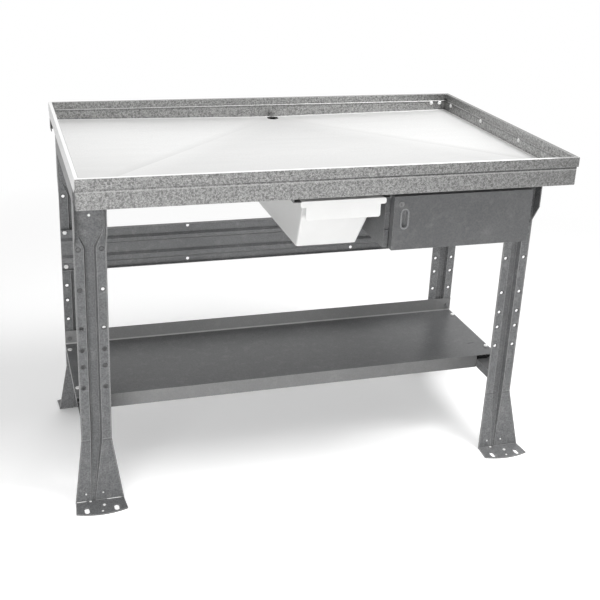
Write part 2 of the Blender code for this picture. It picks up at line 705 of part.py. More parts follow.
def make_end_channel(name, side):
    """Inverted channel under a tray end, with a bolting tab at each leg."""
    low = LEG_CENTRE_X - END_CHANNEL_HALF
    high = LEG_CENTRE_X + END_CHANNEL_HALF
    sheet = END_CHANNEL_SHEET
    front = FRONT_LEG_Y - LEG_FLANGE
    rear = REAR_LEG_Y + LEG_SHEET + LEG_FLANGE
    front_tab = FRONT_LEG_Y + FLAT_GROOVE_DEPTH + LEG_SHEET + GAP
    rear_tab = REAR_LEG_Y - GAP
    tab_low = LEG_CENTRE_X - END_CHANNEL_TAB_HALF
    tab_high = LEG_CENTRE_X + END_CHANNEL_TAB_HALF
    boxes = [
        (low, low + sheet, front, rear, END_CHANNEL_BOTTOM, END_CHANNEL_TOP),
        (high - sheet, high, front, rear, END_CHANNEL_BOTTOM, END_CHANNEL_TOP),
        (low, high, front, rear, END_CHANNEL_TOP - sheet, END_CHANNEL_TOP),
        (tab_low, tab_high, front_tab, front_tab + END_CHANNEL_TAB, END_CHANNEL_TAB_BOTTOM, END_CHANNEL_TOP),
        (tab_low, tab_high, rear_tab - END_CHANNEL_TAB, rear_tab, END_CHANNEL_TAB_BOTTOM, END_CHANNEL_TOP),
    ]
    boxes = [mirrored(box, side) for box in boxes]
    channel = blocks(name, boxes, (side * LEG_CENTRE_X, 0, END_CHANNEL_TOP), "grey_paint")
    cut(channel, name + "_holes", [
        hole("Y", side * LEG_CENTRE_X, TOP_BOLT_Z, TOP_BOLT_HOLE_RADIUS, low_y, low_y + END_CHANNEL_TAB)
        for low_y in (front_tab, rear_tab - END_CHANNEL_TAB)
    ])


def rail_span():
    front = FRONT_LEG_Y + LEG_GROOVE_DEPTH + LEG_SHEET + GAP
    return front, REAR_LEG_Y - GAP


def make_lower_rail(name, side):
    """Front-to-back channel that carries one end of the shelf."""
    front, rear = rail_span()
    sheet = RAIL_SHEET
    top = RAIL_TOP
    boxes = [
        (RAIL_INNER_X, RAIL_INNER_X + sheet, front, rear, RAIL_BOTTOM, top),
        (RAIL_INNER_X, RAIL_OUTER_X, front, rear, top - sheet, top),
        (RAIL_INNER_X, RAIL_LIP_X, front, rear, RAIL_BOTTOM, RAIL_BOTTOM + sheet),
        (RAIL_INNER_X, RAIL_OUTER_X, front, front + sheet, RAIL_PLATE_BOTTOM, top),
        (RAIL_INNER_X, RAIL_OUTER_X, rear - sheet, rear, RAIL_PLATE_BOTTOM, top),
    ]
    boxes = [mirrored(box, side) for box in boxes]
    rail = blocks(name, boxes, (side * LEG_CENTRE_X, 0, RAIL_BOTTOM), "grey_paint")
    cut(rail, name + "_holes", [
        hole("Z", side * SHELF_BOLT_X, y, BOLT_HOLE_RADIUS, top - sheet, top)
        for y in (SHELF_BOLT_FRONT_Y, SHELF_BOLT_REAR_Y)
    ])


def make_shelf():
    """Lower shelf with front fascia, rear upstand and hemmed ends."""
    sheet = SHELF_SHEET
    rear = REAR_LEG_Y - GAP
    under = SHELF_TOP - sheet
    hem = RAIL_TOP + GAP
    boxes = [
        (-SHELF_HALF_WIDTH, SHELF_HALF_WIDTH, SHELF_FRONT_Y, rear, under, SHELF_TOP),
        (-SHELF_FASCIA_HALF, SHELF_FASCIA_HALF, SHELF_FRONT_Y, SHELF_FRONT_Y + sheet,
         SHELF_FASCIA_BOTTOM, SHELF_TOP),
        (-SHELF_HALF_WIDTH, SHELF_HALF_WIDTH, rear - sheet, rear, under, SHELF_UPSTAND_TOP),
    ]
    for _, side in SIDES:
        edge = (SHELF_HALF_WIDTH - sheet, SHELF_HALF_WIDTH, SHELF_FRONT_Y, rear, hem, SHELF_TOP)
        seat = (SHELF_HALF_WIDTH - SHELF_HEM, SHELF_HALF_WIDTH, SHELF_FRONT_Y, rear, hem, hem + sheet)
        boxes += [mirrored(edge, side), mirrored(seat, side)]
    shelf = blocks("lower_shelf", boxes, (0, 0, SHELF_TOP), "grey_paint")
    shapes = []
    for _, side in SIDES:
        for y in (SHELF_BOLT_FRONT_Y, SHELF_BOLT_REAR_Y):
            shapes.append(hole("Z", side * SHELF_BOLT_X, y, BOLT_HOLE_RADIUS, hem, SHELF_TOP))
        shapes.append(hole("Y", side * LEG_BOLT_X, UPSTAND_BOLT_Z, BOLT_HOLE_RADIUS, rear, rear))
    cut(shelf, "shelf_holes", shapes)


def folded_strip(outer, inner, low, high):
    """Folded sheet from two matching (y, z) lines, run from low to high in X."""
    bm = bmesh.new()
    lines = [[bm.verts.new((x, y, z)) for y, z in line] for x in (low, high) for line in (outer, inner)]
    low_outer, low_inner, high_outer, high_inner = lines
    loop = (low_outer, high_outer, high_inner, low_inner, low_outer)
    for line_a, line_b in zip(loop, loop[1:]):
        for i in range(len(outer) - 1):
            bm.faces.new((line_a[i], line_a[i + 1], line_b[i + 1], line_b[i]))
    for i in (0, -1):
        bm.faces.new([line[i] for line in loop[:-1]])
    bmesh.ops.triangulate(bm, faces=bm.faces)
    return bm


def make_stringer():
    """Ribbed cross member bolted to the front faces of the rear legs."""
    sheet = STRINGER_SHEET
    back = REAR_LEG_Y - GAP
    face = back - sheet
    lip = back - STRINGER_LIP
    bottom = STRINGER_BOTTOM
    pitch = STRINGER_BOLT_ROWS[0] - STRINGER_BOLT_ROWS[1]
    heights = [STRINGER_BOLT_ROWS[0] - share * pitch for share in STRINGER_RIB_SHARES]
    outer = [(lip, STRINGER_TOP), (back, STRINGER_TOP)]
    inner = [(lip, STRINGER_TOP - sheet), (face, STRINGER_TOP - sheet)]
    for upper, lower in (heights[0:2], heights[2:4]):
        slope = STRINGER_RIB_SLOPE
        for line, flat, spread in ((outer, back, 0), (inner, face, sheet / 2)):
            line.append((flat, upper + spread))
            line.append((flat - STRINGER_RIB, upper - slope + spread))
            line.append((flat - STRINGER_RIB, lower + slope - spread))
            line.append((flat, lower - spread))
    outer += [(back, bottom), (lip, bottom)]
    inner += [(face, bottom + sheet), (lip, bottom + sheet)]
    bm = folded_strip(outer, inner, -STRINGER_HALF_WIDTH, STRINGER_HALF_WIDTH)
    stringer = finish("rear_stringer", bm, (0, REAR_LEG_Y, STRINGER_TOP), "grey_paint")
    shapes = []
    for row in STRINGER_BOLT_ROWS:
        for x in (-STRINGER_HOLE_X, STRINGER_HOLE_X):
            shapes.append(hole("Y", x, row, LEG_HOLE_RADIUS, back, back))
        for _, side in SIDES:
            shapes.append(hole("Y", side * LEG_BOLT_X, row, BOLT_HOLE_RADIUS, back, back))
    cut(stringer, "stringer_holes", shapes)


def make_pan_rail(name, side):
    """Inward-facing channel hung on the apron returns; carries the pan rim."""
    face = TABLE_DEPTH / 2 - APRON_SETBACK - TRAY_SHEET
    reach = face - FRONT_RETURN - GAP
    sheet = PAN_RAIL_SHEET
    shelf = PAN_TOP - PAN_RIM - GAP
    hook = APRON_BOTTOM + TRAY_SHEET + GAP
    outer = PAN_RAIL_HALF
    inner = PAN_RAIL_HALF - PAN_RAIL_FLANGE
    boxes = [
        (outer - sheet, outer, -reach, reach, shelf - sheet, hook + sheet),
        (inner, outer, -reach, reach, shelf - sheet, shelf),
        (inner, outer, -face + GAP, face - GAP, hook, hook + sheet),
    ]
    shifted = []
    for box in boxes:
        x0, x1, *rest = mirrored(box, side)
        shifted.append((x0 + PAN_CENTRE_X, x1 + PAN_CENTRE_X, *rest))
    origin = (PAN_CENTRE_X + side * outer, 0, hook)
    blocks(name, shifted, origin, "grey_paint")


def rounded(half, front, rear, corner, steps=4):
    """Rectangle with rounded corners, anticlockwise."""
    points = []
    for cx, cy, start in ((half, front, -90), (half, rear, 0), (-half, rear, 90), (-half, front, 180)):
        ox = cx - math.copysign(corner, cx)
        oy = cy - (corner if start in (0, 90) else -corner)
        for i in range(steps + 1):
            angle = math.radians(start + 90 * i / steps)
            points.append((ox + corner * math.cos(angle), oy + corner * math.sin(angle)))
    return points


def pan_ring(half, front, rear, z, corner):
    return [(x + PAN_CENTRE_X, y, z) for x, y in rounded(half, front, rear, corner)]


def pan_lip_outline():
    """Front view of the lip: a wide tab over a narrower fascia, cut corners."""
    tab, fascia, cut_off = PAN_TAB_HALF, PAN_FASCIA_HALF, PAN_TAB_CHAMFER
    right = [
        (fascia - cut_off, -PAN_FASCIA_HEIGHT), (fascia, cut_off - PAN_FASCIA_HEIGHT),
        (fascia, -PAN_TAB_HEIGHT), (tab - cut_off, -PAN_TAB_HEIGHT), (tab, cut_off - PAN_TAB_HEIGHT),
        (tab, -cut_off), (tab - cut_off, -GAP),
    ]
    return right + [(-x, z) for x, z in reversed(right)]


def make_pan():
    """Tapered plastic pan with a rim all round and a pull-down lip in front."""
    wall = PAN_WALL
    corner = PAN_CORNER
    inner = corner - wall
    under = PAN_TOP - PAN_RIM
    rings = [
        pan_ring(PAN_HALF_BOTTOM, PAN_FRONT_BOTTOM_Y, PAN_REAR_BOTTOM_Y, PAN_BOTTOM, corner),
        pan_ring(PAN_HALF_TOP, PAN_FRONT_TOP_Y, PAN_REAR_TOP_Y, under, corner),
        pan_ring(PAN_RIM_HALF, PAN_RIM_FRONT_Y, PAN_RIM_REAR_Y, under, corner),
        pan_ring(PAN_RIM_HALF, PAN_RIM_FRONT_Y, PAN_RIM_REAR_Y, PAN_TOP, corner),
        pan_ring(PAN_HALF_TOP - wall, PAN_FRONT_TOP_Y + wall, PAN_REAR_TOP_Y - wall, PAN_TOP, inner),
        pan_ring(PAN_HALF_BOTTOM - wall, PAN_FRONT_BOTTOM_Y + wall, PAN_REAR_BOTTOM_Y - wall,
                 PAN_BOTTOM + wall, inner),
    ]
    origin = (PAN_CENTRE_X, PAN_RIM_FRONT_Y, PAN_TOP)
    pan = finish("drain_pan", loft(rings), origin, "white_plastic", smooth=True)
    lip_y = (PAN_RIM_FRONT_Y - GAP, PAN_RIM_FRONT_Y + wall)
    lip = [[(PAN_CENTRE_X + x, y, PAN_TOP + z) for x, z in pan_lip_outline()] for y in lip_y]
    fascia = finish("drain_pan_lip", loft(lip), (0, 0, 0), "white_plastic")
    fascia.hide_render = True
    fascia.display_type = "WIRE"
    union = pan.modifiers.new("lip", "BOOLEAN")
    union.operation = "UNION"
    union.solver = "EXACT"
    union.object = fascia


def make_housing():
    """Open-fronted drawer housing: a cross strip over the opening, side flanges
    above and below the slides."""
    sheet = HOUSING_SHEET
    rear = HOUSING_FRONT_Y + HOUSING_DEPTH
    left, right = HOUSING_LEFT, HOUSING_RIGHT
    cross = HOUSING_TOP - HOUSING_CROSS_HEIGHT
    boxes = [
        (left, left + sheet, HOUSING_FRONT_Y, rear, HOUSING_BOTTOM, HOUSING_TOP),
        (right - sheet, right, HOUSING_FRONT_Y, rear, HOUSING_BOTTOM, HOUSING_TOP),
        (left, right, HOUSING_FRONT_Y, rear, HOUSING_BOTTOM, HOUSING_BOTTOM + sheet),
        (left, right, rear - sheet, rear, HOUSING_BOTTOM, HOUSING_TOP),
        (left, right, HOUSING_FRONT_Y, HOUSING_FRONT_Y + sheet, cross, HOUSING_TOP),
    ]
    for low, high in ((HOUSING_BOTTOM, HOUSING_FLANGE_LOW), (HOUSING_FLANGE_HIGH, HOUSING_TOP)):
        for x0, x1 in ((left, left + HOUSING_FLANGE), (right - HOUSING_FLANGE, right)):
            boxes.append((x0, x1, HOUSING_FRONT_Y, HOUSING_FRONT_Y + sheet, low, high))
    blocks("drawer_housing", boxes, (left, HOUSING_FRONT_Y, HOUSING_BOTTOM), "grey_paint")


def oval(half_width, half_height, cx, cz, steps=10):
    """Upright slot shape with round ends, anticlockwise in X and Z."""
    points = []
    straight = half_height - half_width
    for end, start in ((1, 0), (-1, 180)):
        for i in range(steps + 1):
            angle = math.radians(start + 180 * i / steps)
            points.append((cx + half_width * math.cos(angle),
                           cz + end * straight + half_width * math.sin(angle)))
    return points


def make_drawer_front():
    """Pan-formed drawer front with a pull opening and a lock hole."""
    left, right = DRAWER_FRONT_LEFT, DRAWER_FRONT_RIGHT
    low, high = HOUSING_BOTTOM, DRAWER_FRONT_TOP
    face = DRAWER_FRONT_Y
    back = DRAWER_FRONT_Y + DRAWER_FRONT_THICK
    sheet = DRAWER_SHEET
    boxes = [
        (left, right, face, face + sheet, low, high),
        (left, left + sheet, face, back, low, high),
        (right - sheet, right, face, back, low, high),
        (left, right, face, back, low, low + sheet),
        (left, right, face, back, high - sheet, high),
        (left, left + DRAWER_LIP, back - sheet, back, low, high),
        (right - DRAWER_LIP, right, back - sheet, back, low, high),
        (left, right, back - sheet, back, low, low + DRAWER_LIP),
        (left, right, back - sheet, back, high - DRAWER_LIP, high),
    ]
    front = blocks("drawer_front", boxes, (left, face, low), "grey_paint")
    opening = oval(PULL_HALF_WIDTH + GAP, PULL_HALF_HEIGHT + GAP, PULL_X, PULL_Z)
    cut(front, "drawer_front_holes", [
        ("Y", opening, face - CUT_MARGIN, face + sheet + CUT_MARGIN),
        hole("Y", LOCK_X, LOCK_Z, LOCK_RADIUS + GAP, face, face + sheet),
    ])


def make_drawer_box():
    """Open-topped sheet box behind the drawer front."""
    left = HOUSING_LEFT + HOUSING_SHEET + DRAWER_BOX_SIDE
    right = HOUSING_RIGHT - HOUSING_SHEET - DRAWER_BOX_SIDE
    front = DRAWER_FRONT_Y + DRAWER_FRONT_THICK + GAP
    rear = front + DRAWER_BOX_DEPTH
    sheet = DRAWER_SHEET
    low, high = DRAWER_BOX_BOTTOM, DRAWER_BOX_TOP
    boxes = [
        (left, right, front, rear, low, low + sheet),
        (left, left + sheet, front, rear, low, high),
        (right - sheet, right, front, rear, low, high),
        (left, right, front, front + sheet, low, high),
        (left, right, rear - sheet, rear, low, high),
    ]
    blocks("drawer_box", boxes, (left, front, low), "grey_paint")


def make_pull():
    """Recessed upright oval cup let into the drawer front."""
    face = DRAWER_FRONT_Y
    lip = face - GAP - PULL_SHEET
    sheet = PULL_SHEET
    wide, tall = PULL_HALF_WIDTH, PULL_HALF_HEIGHT

    def ring(grow, y):
        return [(x, y, z) for x, z in oval(wide + grow, tall + grow, PULL_X, PULL_Z)]

    rings = [
        ring(0, face + PULL_DEPTH),
        ring(0, face - GAP),
        ring(PULL_FLANGE, face - GAP),
        ring(PULL_FLANGE, lip),
        ring(-sheet, lip),
        ring(-sheet, face + PULL_DEPTH - sheet),
    ]
    finish("drawer_pull", loft(rings), (PULL_X, face, PULL_Z), "grey_paint", smooth=True)


def make_lock():
    """Turning lock plug with a key slot in its face."""
    face = DRAWER_FRONT_Y - GAP
    centre = (LOCK_X, face, LOCK_Z)
    stations = [
        (-LOCK_FACE, LOCK_FACE_RADIUS),
        (0, LOCK_FACE_RADIUS),
        (0, LOCK_RADIUS),
        (LOCK_LENGTH, LOCK_RADIUS),
    ]
    lock = lathe("lock_plug", "Y", centre, stations, "satin_chrome")
    half = LOCK_SLOT_HALF
    height = LOCK_SLOT_HEIGHT_HALF
    slot = [(LOCK_X - half, LOCK_Z - height), (LOCK_X + half, LOCK_Z - height),
            (LOCK_X + half, LOCK_Z + height), (LOCK_X - half, LOCK_Z + height)]
    cut(lock, "lock_slot", [("Y", slot, face - LOCK_FACE - CUT_MARGIN, face + LOCK_FACE)])


def channel_boxes(x_web, x_lip, half_height, front, length):
    """C-shaped slide member; the web is at x_web and the lips reach to x_lip."""
    sheet = SLIDE_SHEET
    inward = math.copysign(sheet, x_lip - x_web)
    low, high = SLIDE_CENTRE_Z - half_height, SLIDE_CENTRE_Z + half_height
    web = sorted((x_web, x_web + inward))
    lips = sorted((x_web, x_lip))
    return [
        (*web, front, front + length, low, high),
        (*lips, front, front + length, low, low + sheet),
        (*lips, front, front + length, high - sheet, high),
    ]


def make_slides(label, side):
    """Fixed, middle and drawer members of one slide, nested with small gaps."""
    if side < 0:
        wall = HOUSING_LEFT + HOUSING_SHEET + GAP
        box = HOUSING_LEFT + HOUSING_SHEET + DRAWER_BOX_SIDE - GAP
        inward = 1
    else:
        wall = HOUSING_RIGHT - HOUSING_SHEET - GAP
        box = HOUSING_RIGHT - HOUSING_SHEET - DRAWER_BOX_SIDE + GAP
        inward = -1
    step = SLIDE_SHEET + SLIDE_GAP
    half = SLIDE_HALF_HEIGHT
    middle = wall + inward * step
    members = [
        ("slide_fixed_", wall, wall + inward * SLIDE_REACH, half),
        ("slide_middle_", middle, middle + inward * SLIDE_REACH, half - step),
        ("slide_drawer_", box, middle + inward * step, half - 2 * step),
    ]
    for prefix, web, lip, height in members:
        boxes = channel_boxes(web, lip, height, SLIDE_FRONT_Y, SLIDE_LENGTH)
        blocks(prefix + label, boxes, (web, SLIDE_FRONT_Y, SLIDE_CENTRE_Z), "slide_steel")


def make_bolt(name, seat, axis, direction, length, head_radius, head, shank_radius):
    """Hex bolt; the head stands on the seat, the shank runs along direction."""
    hexagon = []
    for i in range(12):
        angle = math.radians(30 * i)
        reach = 1 if i % 2 == 0 else math.cos(math.radians(30))
        hexagon.append((reach * math.cos(angle), reach * math.sin(angle)))
    start = -direction * GAP
    stations = [
        (start - direction * head, head_radius, hexagon),
        (start, head_radius, hexagon),
        (start, shank_radius, circle(1, 12)),
        (direction * length, shank_radius, circle(1, 12)),
    ]
    rings = []
    for distance, radius, shape in stations:
        points = [along(axis, u * radius, v * radius, distance) for u, v in shape]
        rings.append([tuple(s + p for s, p in zip(seat, point)) for point in points])
    finish(name, loft(rings), seat, "zinc_steel")


def make_bolts():
    stringer_face = REAR_LEG_Y - GAP - STRINGER_SHEET
    upstand_face = REAR_LEG_Y - GAP - SHELF_SHEET
    front_flat = FRONT_LEG_Y + FLAT_GROOVE_DEPTH
    rear_flat = REAR_LEG_Y + LEG_SHEET + FLAT_GROOVE_DEPTH
    for label, side in SIDES:
        x = side * LEG_CENTRE_X
        bolt_x = side * SHELF_BOLT_X
        hole_x = side * LEG_BOLT_X
        for prefix, y, direction in (("bolt_top_front_", front_flat, 1), ("bolt_top_rear_", rear_flat, -1)):
            make_bolt(prefix + label, (x, y, TOP_BOLT_Z), "Y", direction, BOLT_LENGTH,
                      TOP_BOLT_HEAD_RADIUS, TOP_BOLT_HEAD, TOP_BOLT_SHANK_RADIUS)
        seats = [
            ("bolt_shelf_front_", (bolt_x, SHELF_BOLT_FRONT_Y, SHELF_TOP), "Z", -1, 2 * BOLT_LENGTH),
            ("bolt_shelf_rear_", (bolt_x, SHELF_BOLT_REAR_Y, SHELF_TOP), "Z", -1, 2 * BOLT_LENGTH),
            ("bolt_upstand_", (hole_x, upstand_face, UPSTAND_BOLT_Z), "Y", 1, BOLT_LENGTH),
            ("bolt_stringer_upper_", (hole_x, stringer_face, STRINGER_BOLT_ROWS[0]), "Y", 1, BOLT_LENGTH),
            ("bolt_stringer_lower_", (hole_x, stringer_face, STRINGER_BOLT_ROWS[1]), "Y", 1, BOLT_LENGTH),
        ]
        for prefix, seat, axis, direction, length in seats:
            make_bolt(prefix + label, seat, axis, direction, length,
                      BOLT_HEAD_RADIUS, BOLT_HEAD, BOLT_SHANK_RADIUS)


def main():
    clear_scene()
    make_materials()
    make_tray()
    make_apron("front_apron", -1, FRONT_RETURN)
    make_apron("rear_apron", 1, REAR_RETURN)
    make_spout()
    for label, side in SIDES:
        make_leg("front_leg_" + label, side, FRONT_LEG_Y, -1)
        make_leg("rear_leg_" + label, side, REAR_LEG_Y, 1)
        make_end_channel("end_channel_" + label, side)
        make_lower_rail("lower_rail_" + label, side)
        make_pan_rail("pan_rail_" + label, side)
        make_slides(label, side)
    make_shelf()
    make_stringer()
    make_pan()
    make_housing()
    make_drawer_front()
    make_drawer_box()
    make_pull()
    make_lock()
    make_bolts()


main()
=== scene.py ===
import json
import math

import bmesh
import bpy
from mathutils import Matrix, Vector


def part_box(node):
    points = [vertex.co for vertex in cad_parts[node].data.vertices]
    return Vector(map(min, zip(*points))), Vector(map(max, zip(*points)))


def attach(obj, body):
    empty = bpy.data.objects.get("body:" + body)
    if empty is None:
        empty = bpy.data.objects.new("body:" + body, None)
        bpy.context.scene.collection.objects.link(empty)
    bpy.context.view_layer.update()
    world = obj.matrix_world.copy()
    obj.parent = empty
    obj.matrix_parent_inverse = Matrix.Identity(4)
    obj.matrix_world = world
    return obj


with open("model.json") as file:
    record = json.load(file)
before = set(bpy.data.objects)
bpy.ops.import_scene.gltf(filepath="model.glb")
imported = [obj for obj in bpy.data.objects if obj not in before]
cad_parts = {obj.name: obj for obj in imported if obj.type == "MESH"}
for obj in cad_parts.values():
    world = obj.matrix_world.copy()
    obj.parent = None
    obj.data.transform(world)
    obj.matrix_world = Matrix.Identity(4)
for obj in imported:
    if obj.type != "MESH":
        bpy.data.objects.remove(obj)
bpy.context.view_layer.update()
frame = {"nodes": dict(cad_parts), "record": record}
NODES = frame["nodes"]
SLOT_OF = {part["node"]: part["material_slot"] for part in frame["record"]["subparts"]}
SIDES = ("left", "right")
ENDS = (("front", -1), ("rear", 1))

# Tray: places from its own box and the drain spout's, and the slopes of its floor's folds in plan
DRAIN = sum(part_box("drain_spout"), Vector()) / 2
TRAY_TOP_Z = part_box("tray_top")[1].z
TRAY_LEDGE_Z = TRAY_TOP_Z - 0.020
TRAY_HALF_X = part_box("tray_top")[1].x
TRAY_WALL_INSET = 0.014
TRAY_WALL_X = TRAY_HALF_X - TRAY_WALL_INSET
TRAY_WALL_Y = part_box("tray_top")[1].y - TRAY_WALL_INSET
SEAM_Z = TRAY_TOP_Z - 0.0262
DRAIN_PAD_Z = TRAY_TOP_Z - 0.0543
LEFT_FOLD_SLOPE = 1.0548
RIGHT_FOLD_SLOPE = 1.0603

# Screws on the tray's walls, left and right, and on its rear wall
SCREW_RADIUS = 0.0058
SCREW_Z = TRAY_LEDGE_Z - 0.007
REAR_SCREW_Z = SCREW_Z + 0.001
SCREW_ROW = (0.325, 0.122, -0.104)
REAR_SCREWS = (0.548, 0.576)

# Legs: holes, flare and floor plates, with places from the leg's middle and crease
LEG_X = 0.5655
LEG_FLAT = (0.0145, 0.0155)
LEG_HOLE_X = 0.027
LEG_HOLE_ROWS = (0.3075, 0.3658, 0.4106, 0.4687, 0.5697, 0.6727)
HOLE_RIM = (0.0068, 0.0060)
PLATE_TOP = 0.0032
FOOT_REACH = 0.062
FOOT_SEAM_OUT = 0.0006
FOOT_SEAM_RADIUS = 0.0015
FOOT_SEAMS = ((-0.060, -0.034), (0.016, 0.054))
PLATE_RIVETS = ((-0.0246, 0.003, 0.0032), (0.0078, 0.025, 0.0042), (0.001, 0.0505, 0.0030))
FLARE_START = 0.158
FLARE_LEAN = 0.036
FLARE_MARKS = (-0.034, 0.009)
FLARE_MARK_Z = 0.021
FLARE_MARK_SINK = 0.0004
FLARE_MARK_RADIUS = 0.0024

# Shelf: its deck lies one bolt head below the bolts' tops
SHELF_BOLT_HEAD = 0.0045
SHELF_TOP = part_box("bolt_shelf_front_left")[1].z - SHELF_BOLT_HEAD

# Nuts, washers, screws, seal, slide caps and weld beads; profiles are (distance, radius) pairs
THREAD_RADIUS = 0.0037
WASHER_RADIUS = 0.0078
WASHER_SPAN = (0.0085, 0.0096)
NUT_PROFILE = ((0.0030, 0.0062), (0.0036, 0.0074), (0.0079, 0.0074), (0.0085, 0.0062))
SCREW_PROFILE = ((0, 0), (0, 1.0), (0.2, 1.0), (0.45, 0.8), (0.62, 0.48), (0.62, 0.33), (0.3, 0.3), (0.3, 0))
SEAL_PROFILE = ((0.0, 0.0128), (0.0, 0.0165), (0.0008, 0.0162), (0.0012, 0.0148),
                (0.0008, 0.0128), (0.0, 0.0128))
CAP_INSET = 0.0006
CAP_FRONT = 0.0018
CAP_BACK = 0.0002
CAP_BEVEL = 0.0004
WASHER_SIDES = 20
NUT_SIDES = 24
SCREW_SIDES = 16
BEAD_SIDES = 10
SEAL_SIDES = 40
BEAD_PITCH = 2.2
BEAD_FEWEST = 3
BEAD_STEPS = 4
BEAD_RIPPLE = 0.12
BEAD_TAPER = 6
BEAD_END = 0.3

# Softened edges
WELD_REACH = 0.00002
FLAT_ANGLE = 0.2
BEVEL_ANGLE = 24
BEVEL_SEGMENTS = 2
NORMAL_WEIGHT = 60
PIECE_SHARP_ANGLE = 38
HARDWARE_EDGE = 0.0005
EDGE_WIDTHS = (("leg", 0.0013), ("apron", 0.0010), ("tray", 0.0008), ("shelf", 0.0008),
               ("drawer_front", 0.0012), ("pan", 0.0012), ("stringer", 0.0008))

# Light levels: world for plain light, what reflections see behind and in front, and
# the two directions along y between which the one turns into the other
WORLD_LEVEL = 0.40
REAR_GLOSS = 1.0
FRONT_GLOSS = 0.55
FRONT_TURN = (0.25, -0.75)

# Floor: its own light, dimmed under the table, and where it fades to the white background
FLOOR_HALF = 14.0
FLOOR_DROP = 0.0005
FLOOR_LIFT = 0.30
FRONT_LIFT = 0.30
SHADE_REACH = 0.75
SHADE_DARK = 0.22
SHADE_FRONT = (0.10, -0.25)
LIFT_FRONT = (0.25, -0.20)
FLOOR_ROUGH = 0.9
FLOOR_NEAR = 1.5
FLOOR_FAR = 2.6

# Lamps: name, place, target, size, power, and whether reflections see it
LAMPS = (
    ("key", (1.45, -0.7, 3.1), (-0.1, 0.1, 0.2), (1.2, 1.2), 75, True),
    ("rear_box", (0.6, 2.2, 2.9), (0.0, 0.0, 0.85), (2.6, 1.2), 12, True),
    ("front_fill", (-1.8, -3.0, 1.2), (-0.2, 0.0, 0.35), (2.2, 1.6), 60, False),
)

# Camera: view direction, roll, place and lens that give the photo's perspective
CAMERA_YAW = 0.317890
CAMERA_PITCH = 0.366747
CAMERA_ROLL = 0.0458948
CAMERA_PLACE = (-0.77642, -2.44623, 1.51148)
FOCAL_PIXELS = 999.62
CENTRE_PIXEL = (302.19, 260.04)
FRAME_PIXELS = 600
SENSOR = 36.0

# Greys of the stainless sheet
SHEET_DARK = (0.27, 0.27, 0.266)
SHEET_LIGHT = (0.37, 0.37, 0.366)
SHEET_SPARK = (0.66, 0.66, 0.655)
SHEET_PIT = (0.17, 0.17, 0.167)
SHEET_CLOUD = (0.34, 0.34, 0.336)
SHEET_WEAR_AND_HIGHLIGHT = (0.80, 0.80, 0.795)
SHEET_LIT = (0.95, 0.95, 0.945)
SHEET_GLEAM = (0.97, 0.97, 0.965)
RIM_SHADE_GREY = (0.22, 0.22, 0.218)
HEM_SHADE_GREY = (0.05, 0.05, 0.05)
FOLD_SHADE_GREY = (0.08, 0.08, 0.08)
FRONT_END_SHADE = (0.16, 0.16, 0.158)
SEAM_SHADOW_GREY = (0.06, 0.06, 0.06)
APRON_END_SHADE_GREY = (0.02, 0.02, 0.02)
BASIN_DARK = (0.70, 0.70, 0.695)
BASIN_LIGHT = (0.78, 0.78, 0.775)
BASIN_PIT = (0.62, 0.62, 0.615)
BASIN_FOLD_SHADE = (0.48, 0.48, 0.475)
BASIN_GLINT = (0.90, 0.90, 0.895)
BASIN_FRONT_LEFT_SHADE = (0.58, 0.58, 0.575)

# Greys of the paint
ENAMEL_DARK = (0.175, 0.178, 0.182)
ENAMEL_LIGHT = (0.225, 0.228, 0.23)
ENAMEL_SPECK = (0.10, 0.102, 0.105)
ENAMEL_DUST = (0.34, 0.34, 0.335)
ENAMEL_CHIP = (0.50, 0.50, 0.495)
GROOVE_HIGHLIGHT = (0.46, 0.46, 0.455)
PAINT_LIT = (0.42, 0.42, 0.415)
PAINT_HIGHLIGHT = (0.62, 0.62, 0.615)
BEND_SHADE = (0.08, 0.08, 0.08)
HOLE_SHADE = (0.03, 0.03, 0.03)
RAIL_SHADE = (0.05, 0.05, 0.05)

# Whites of the plastic and the floor
PLASTIC_LIGHT = (0.92, 0.92, 0.912)
PLASTIC_DARK = (0.87, 0.87, 0.86)
PLASTIC_SCUFF = (0.74, 0.74, 0.73)
PLASTIC_HIGHLIGHT = (0.95, 0.95, 0.945)
PLASTIC_BEHIND_SHADE = (0.25, 0.25, 0.248)
PLASTIC_SIDE_SHADE = (0.35, 0.35, 0.345)
FLOOR_DARK = (0.80, 0.80, 0.80)
FLOOR_LIGHT = (0.82, 0.82, 0.82)

# Noise settings: scale, detail, roughness and distortion
LONG_GRAIN = (8.0, 4.0, 0.6)
SHORT_GRAIN = (2.0, 2.0, 0.5)
STIPPLE = (360.0, 3.0, 0.75)
MOTTLE = (170.0, 4.0, 0.75, 0.3)
SHEET_CLOUDS = (3.2, 4.0, 0.55, 0.4)
SMEAR = (2.3, 5.0, 0.6, 0.8)
PEEL = (240.0, 2.0, 0.5)
ENAMEL_CLOUDS = (5.0, 5.0, 0.6, 0.5)
DUST = (42.0, 6.0, 0.7, 0.2)
SPECK = (260.0, 3.0, 0.75)
CHIPS = (130.0, 4.0, 0.75)
PATCHES = (90.0, 2.0, 0.5)
PLASTIC_GRAIN = (700.0, 3.0, 0.6)
PLASTIC_CLOUDS = (6.0, 4.0, 0.6, 0.5)
SCUFFS = (9.0, 5.0, 0.7)
PLATE_GRAIN = (6.0, 4.0, 0.6)
PLATE_BLOOM = (90.0, 4.0, 0.65, 0.6)
PLATE_SPECK = (1100.0, 2.0, 0.6)
FLOOR_CLOUDS = (1.5, 3.0, 0.5)

# Stretch of the directional noises along x, y and z
LONG_STRETCH = (6.0, 260.0, 260.0)
SHORT_STRETCH = (60.0, 700.0, 700.0)
SMEAR_STRETCH = (1.4, 7.0, 7.0)
SCUFF_STRETCH = (30.0, 4.0, 30.0)
PLATE_STRETCH = (300, 300, 300)
ROLLED_STRETCH = (900, 20, 900)
CHROME_STRETCH = (500, 500, 500)
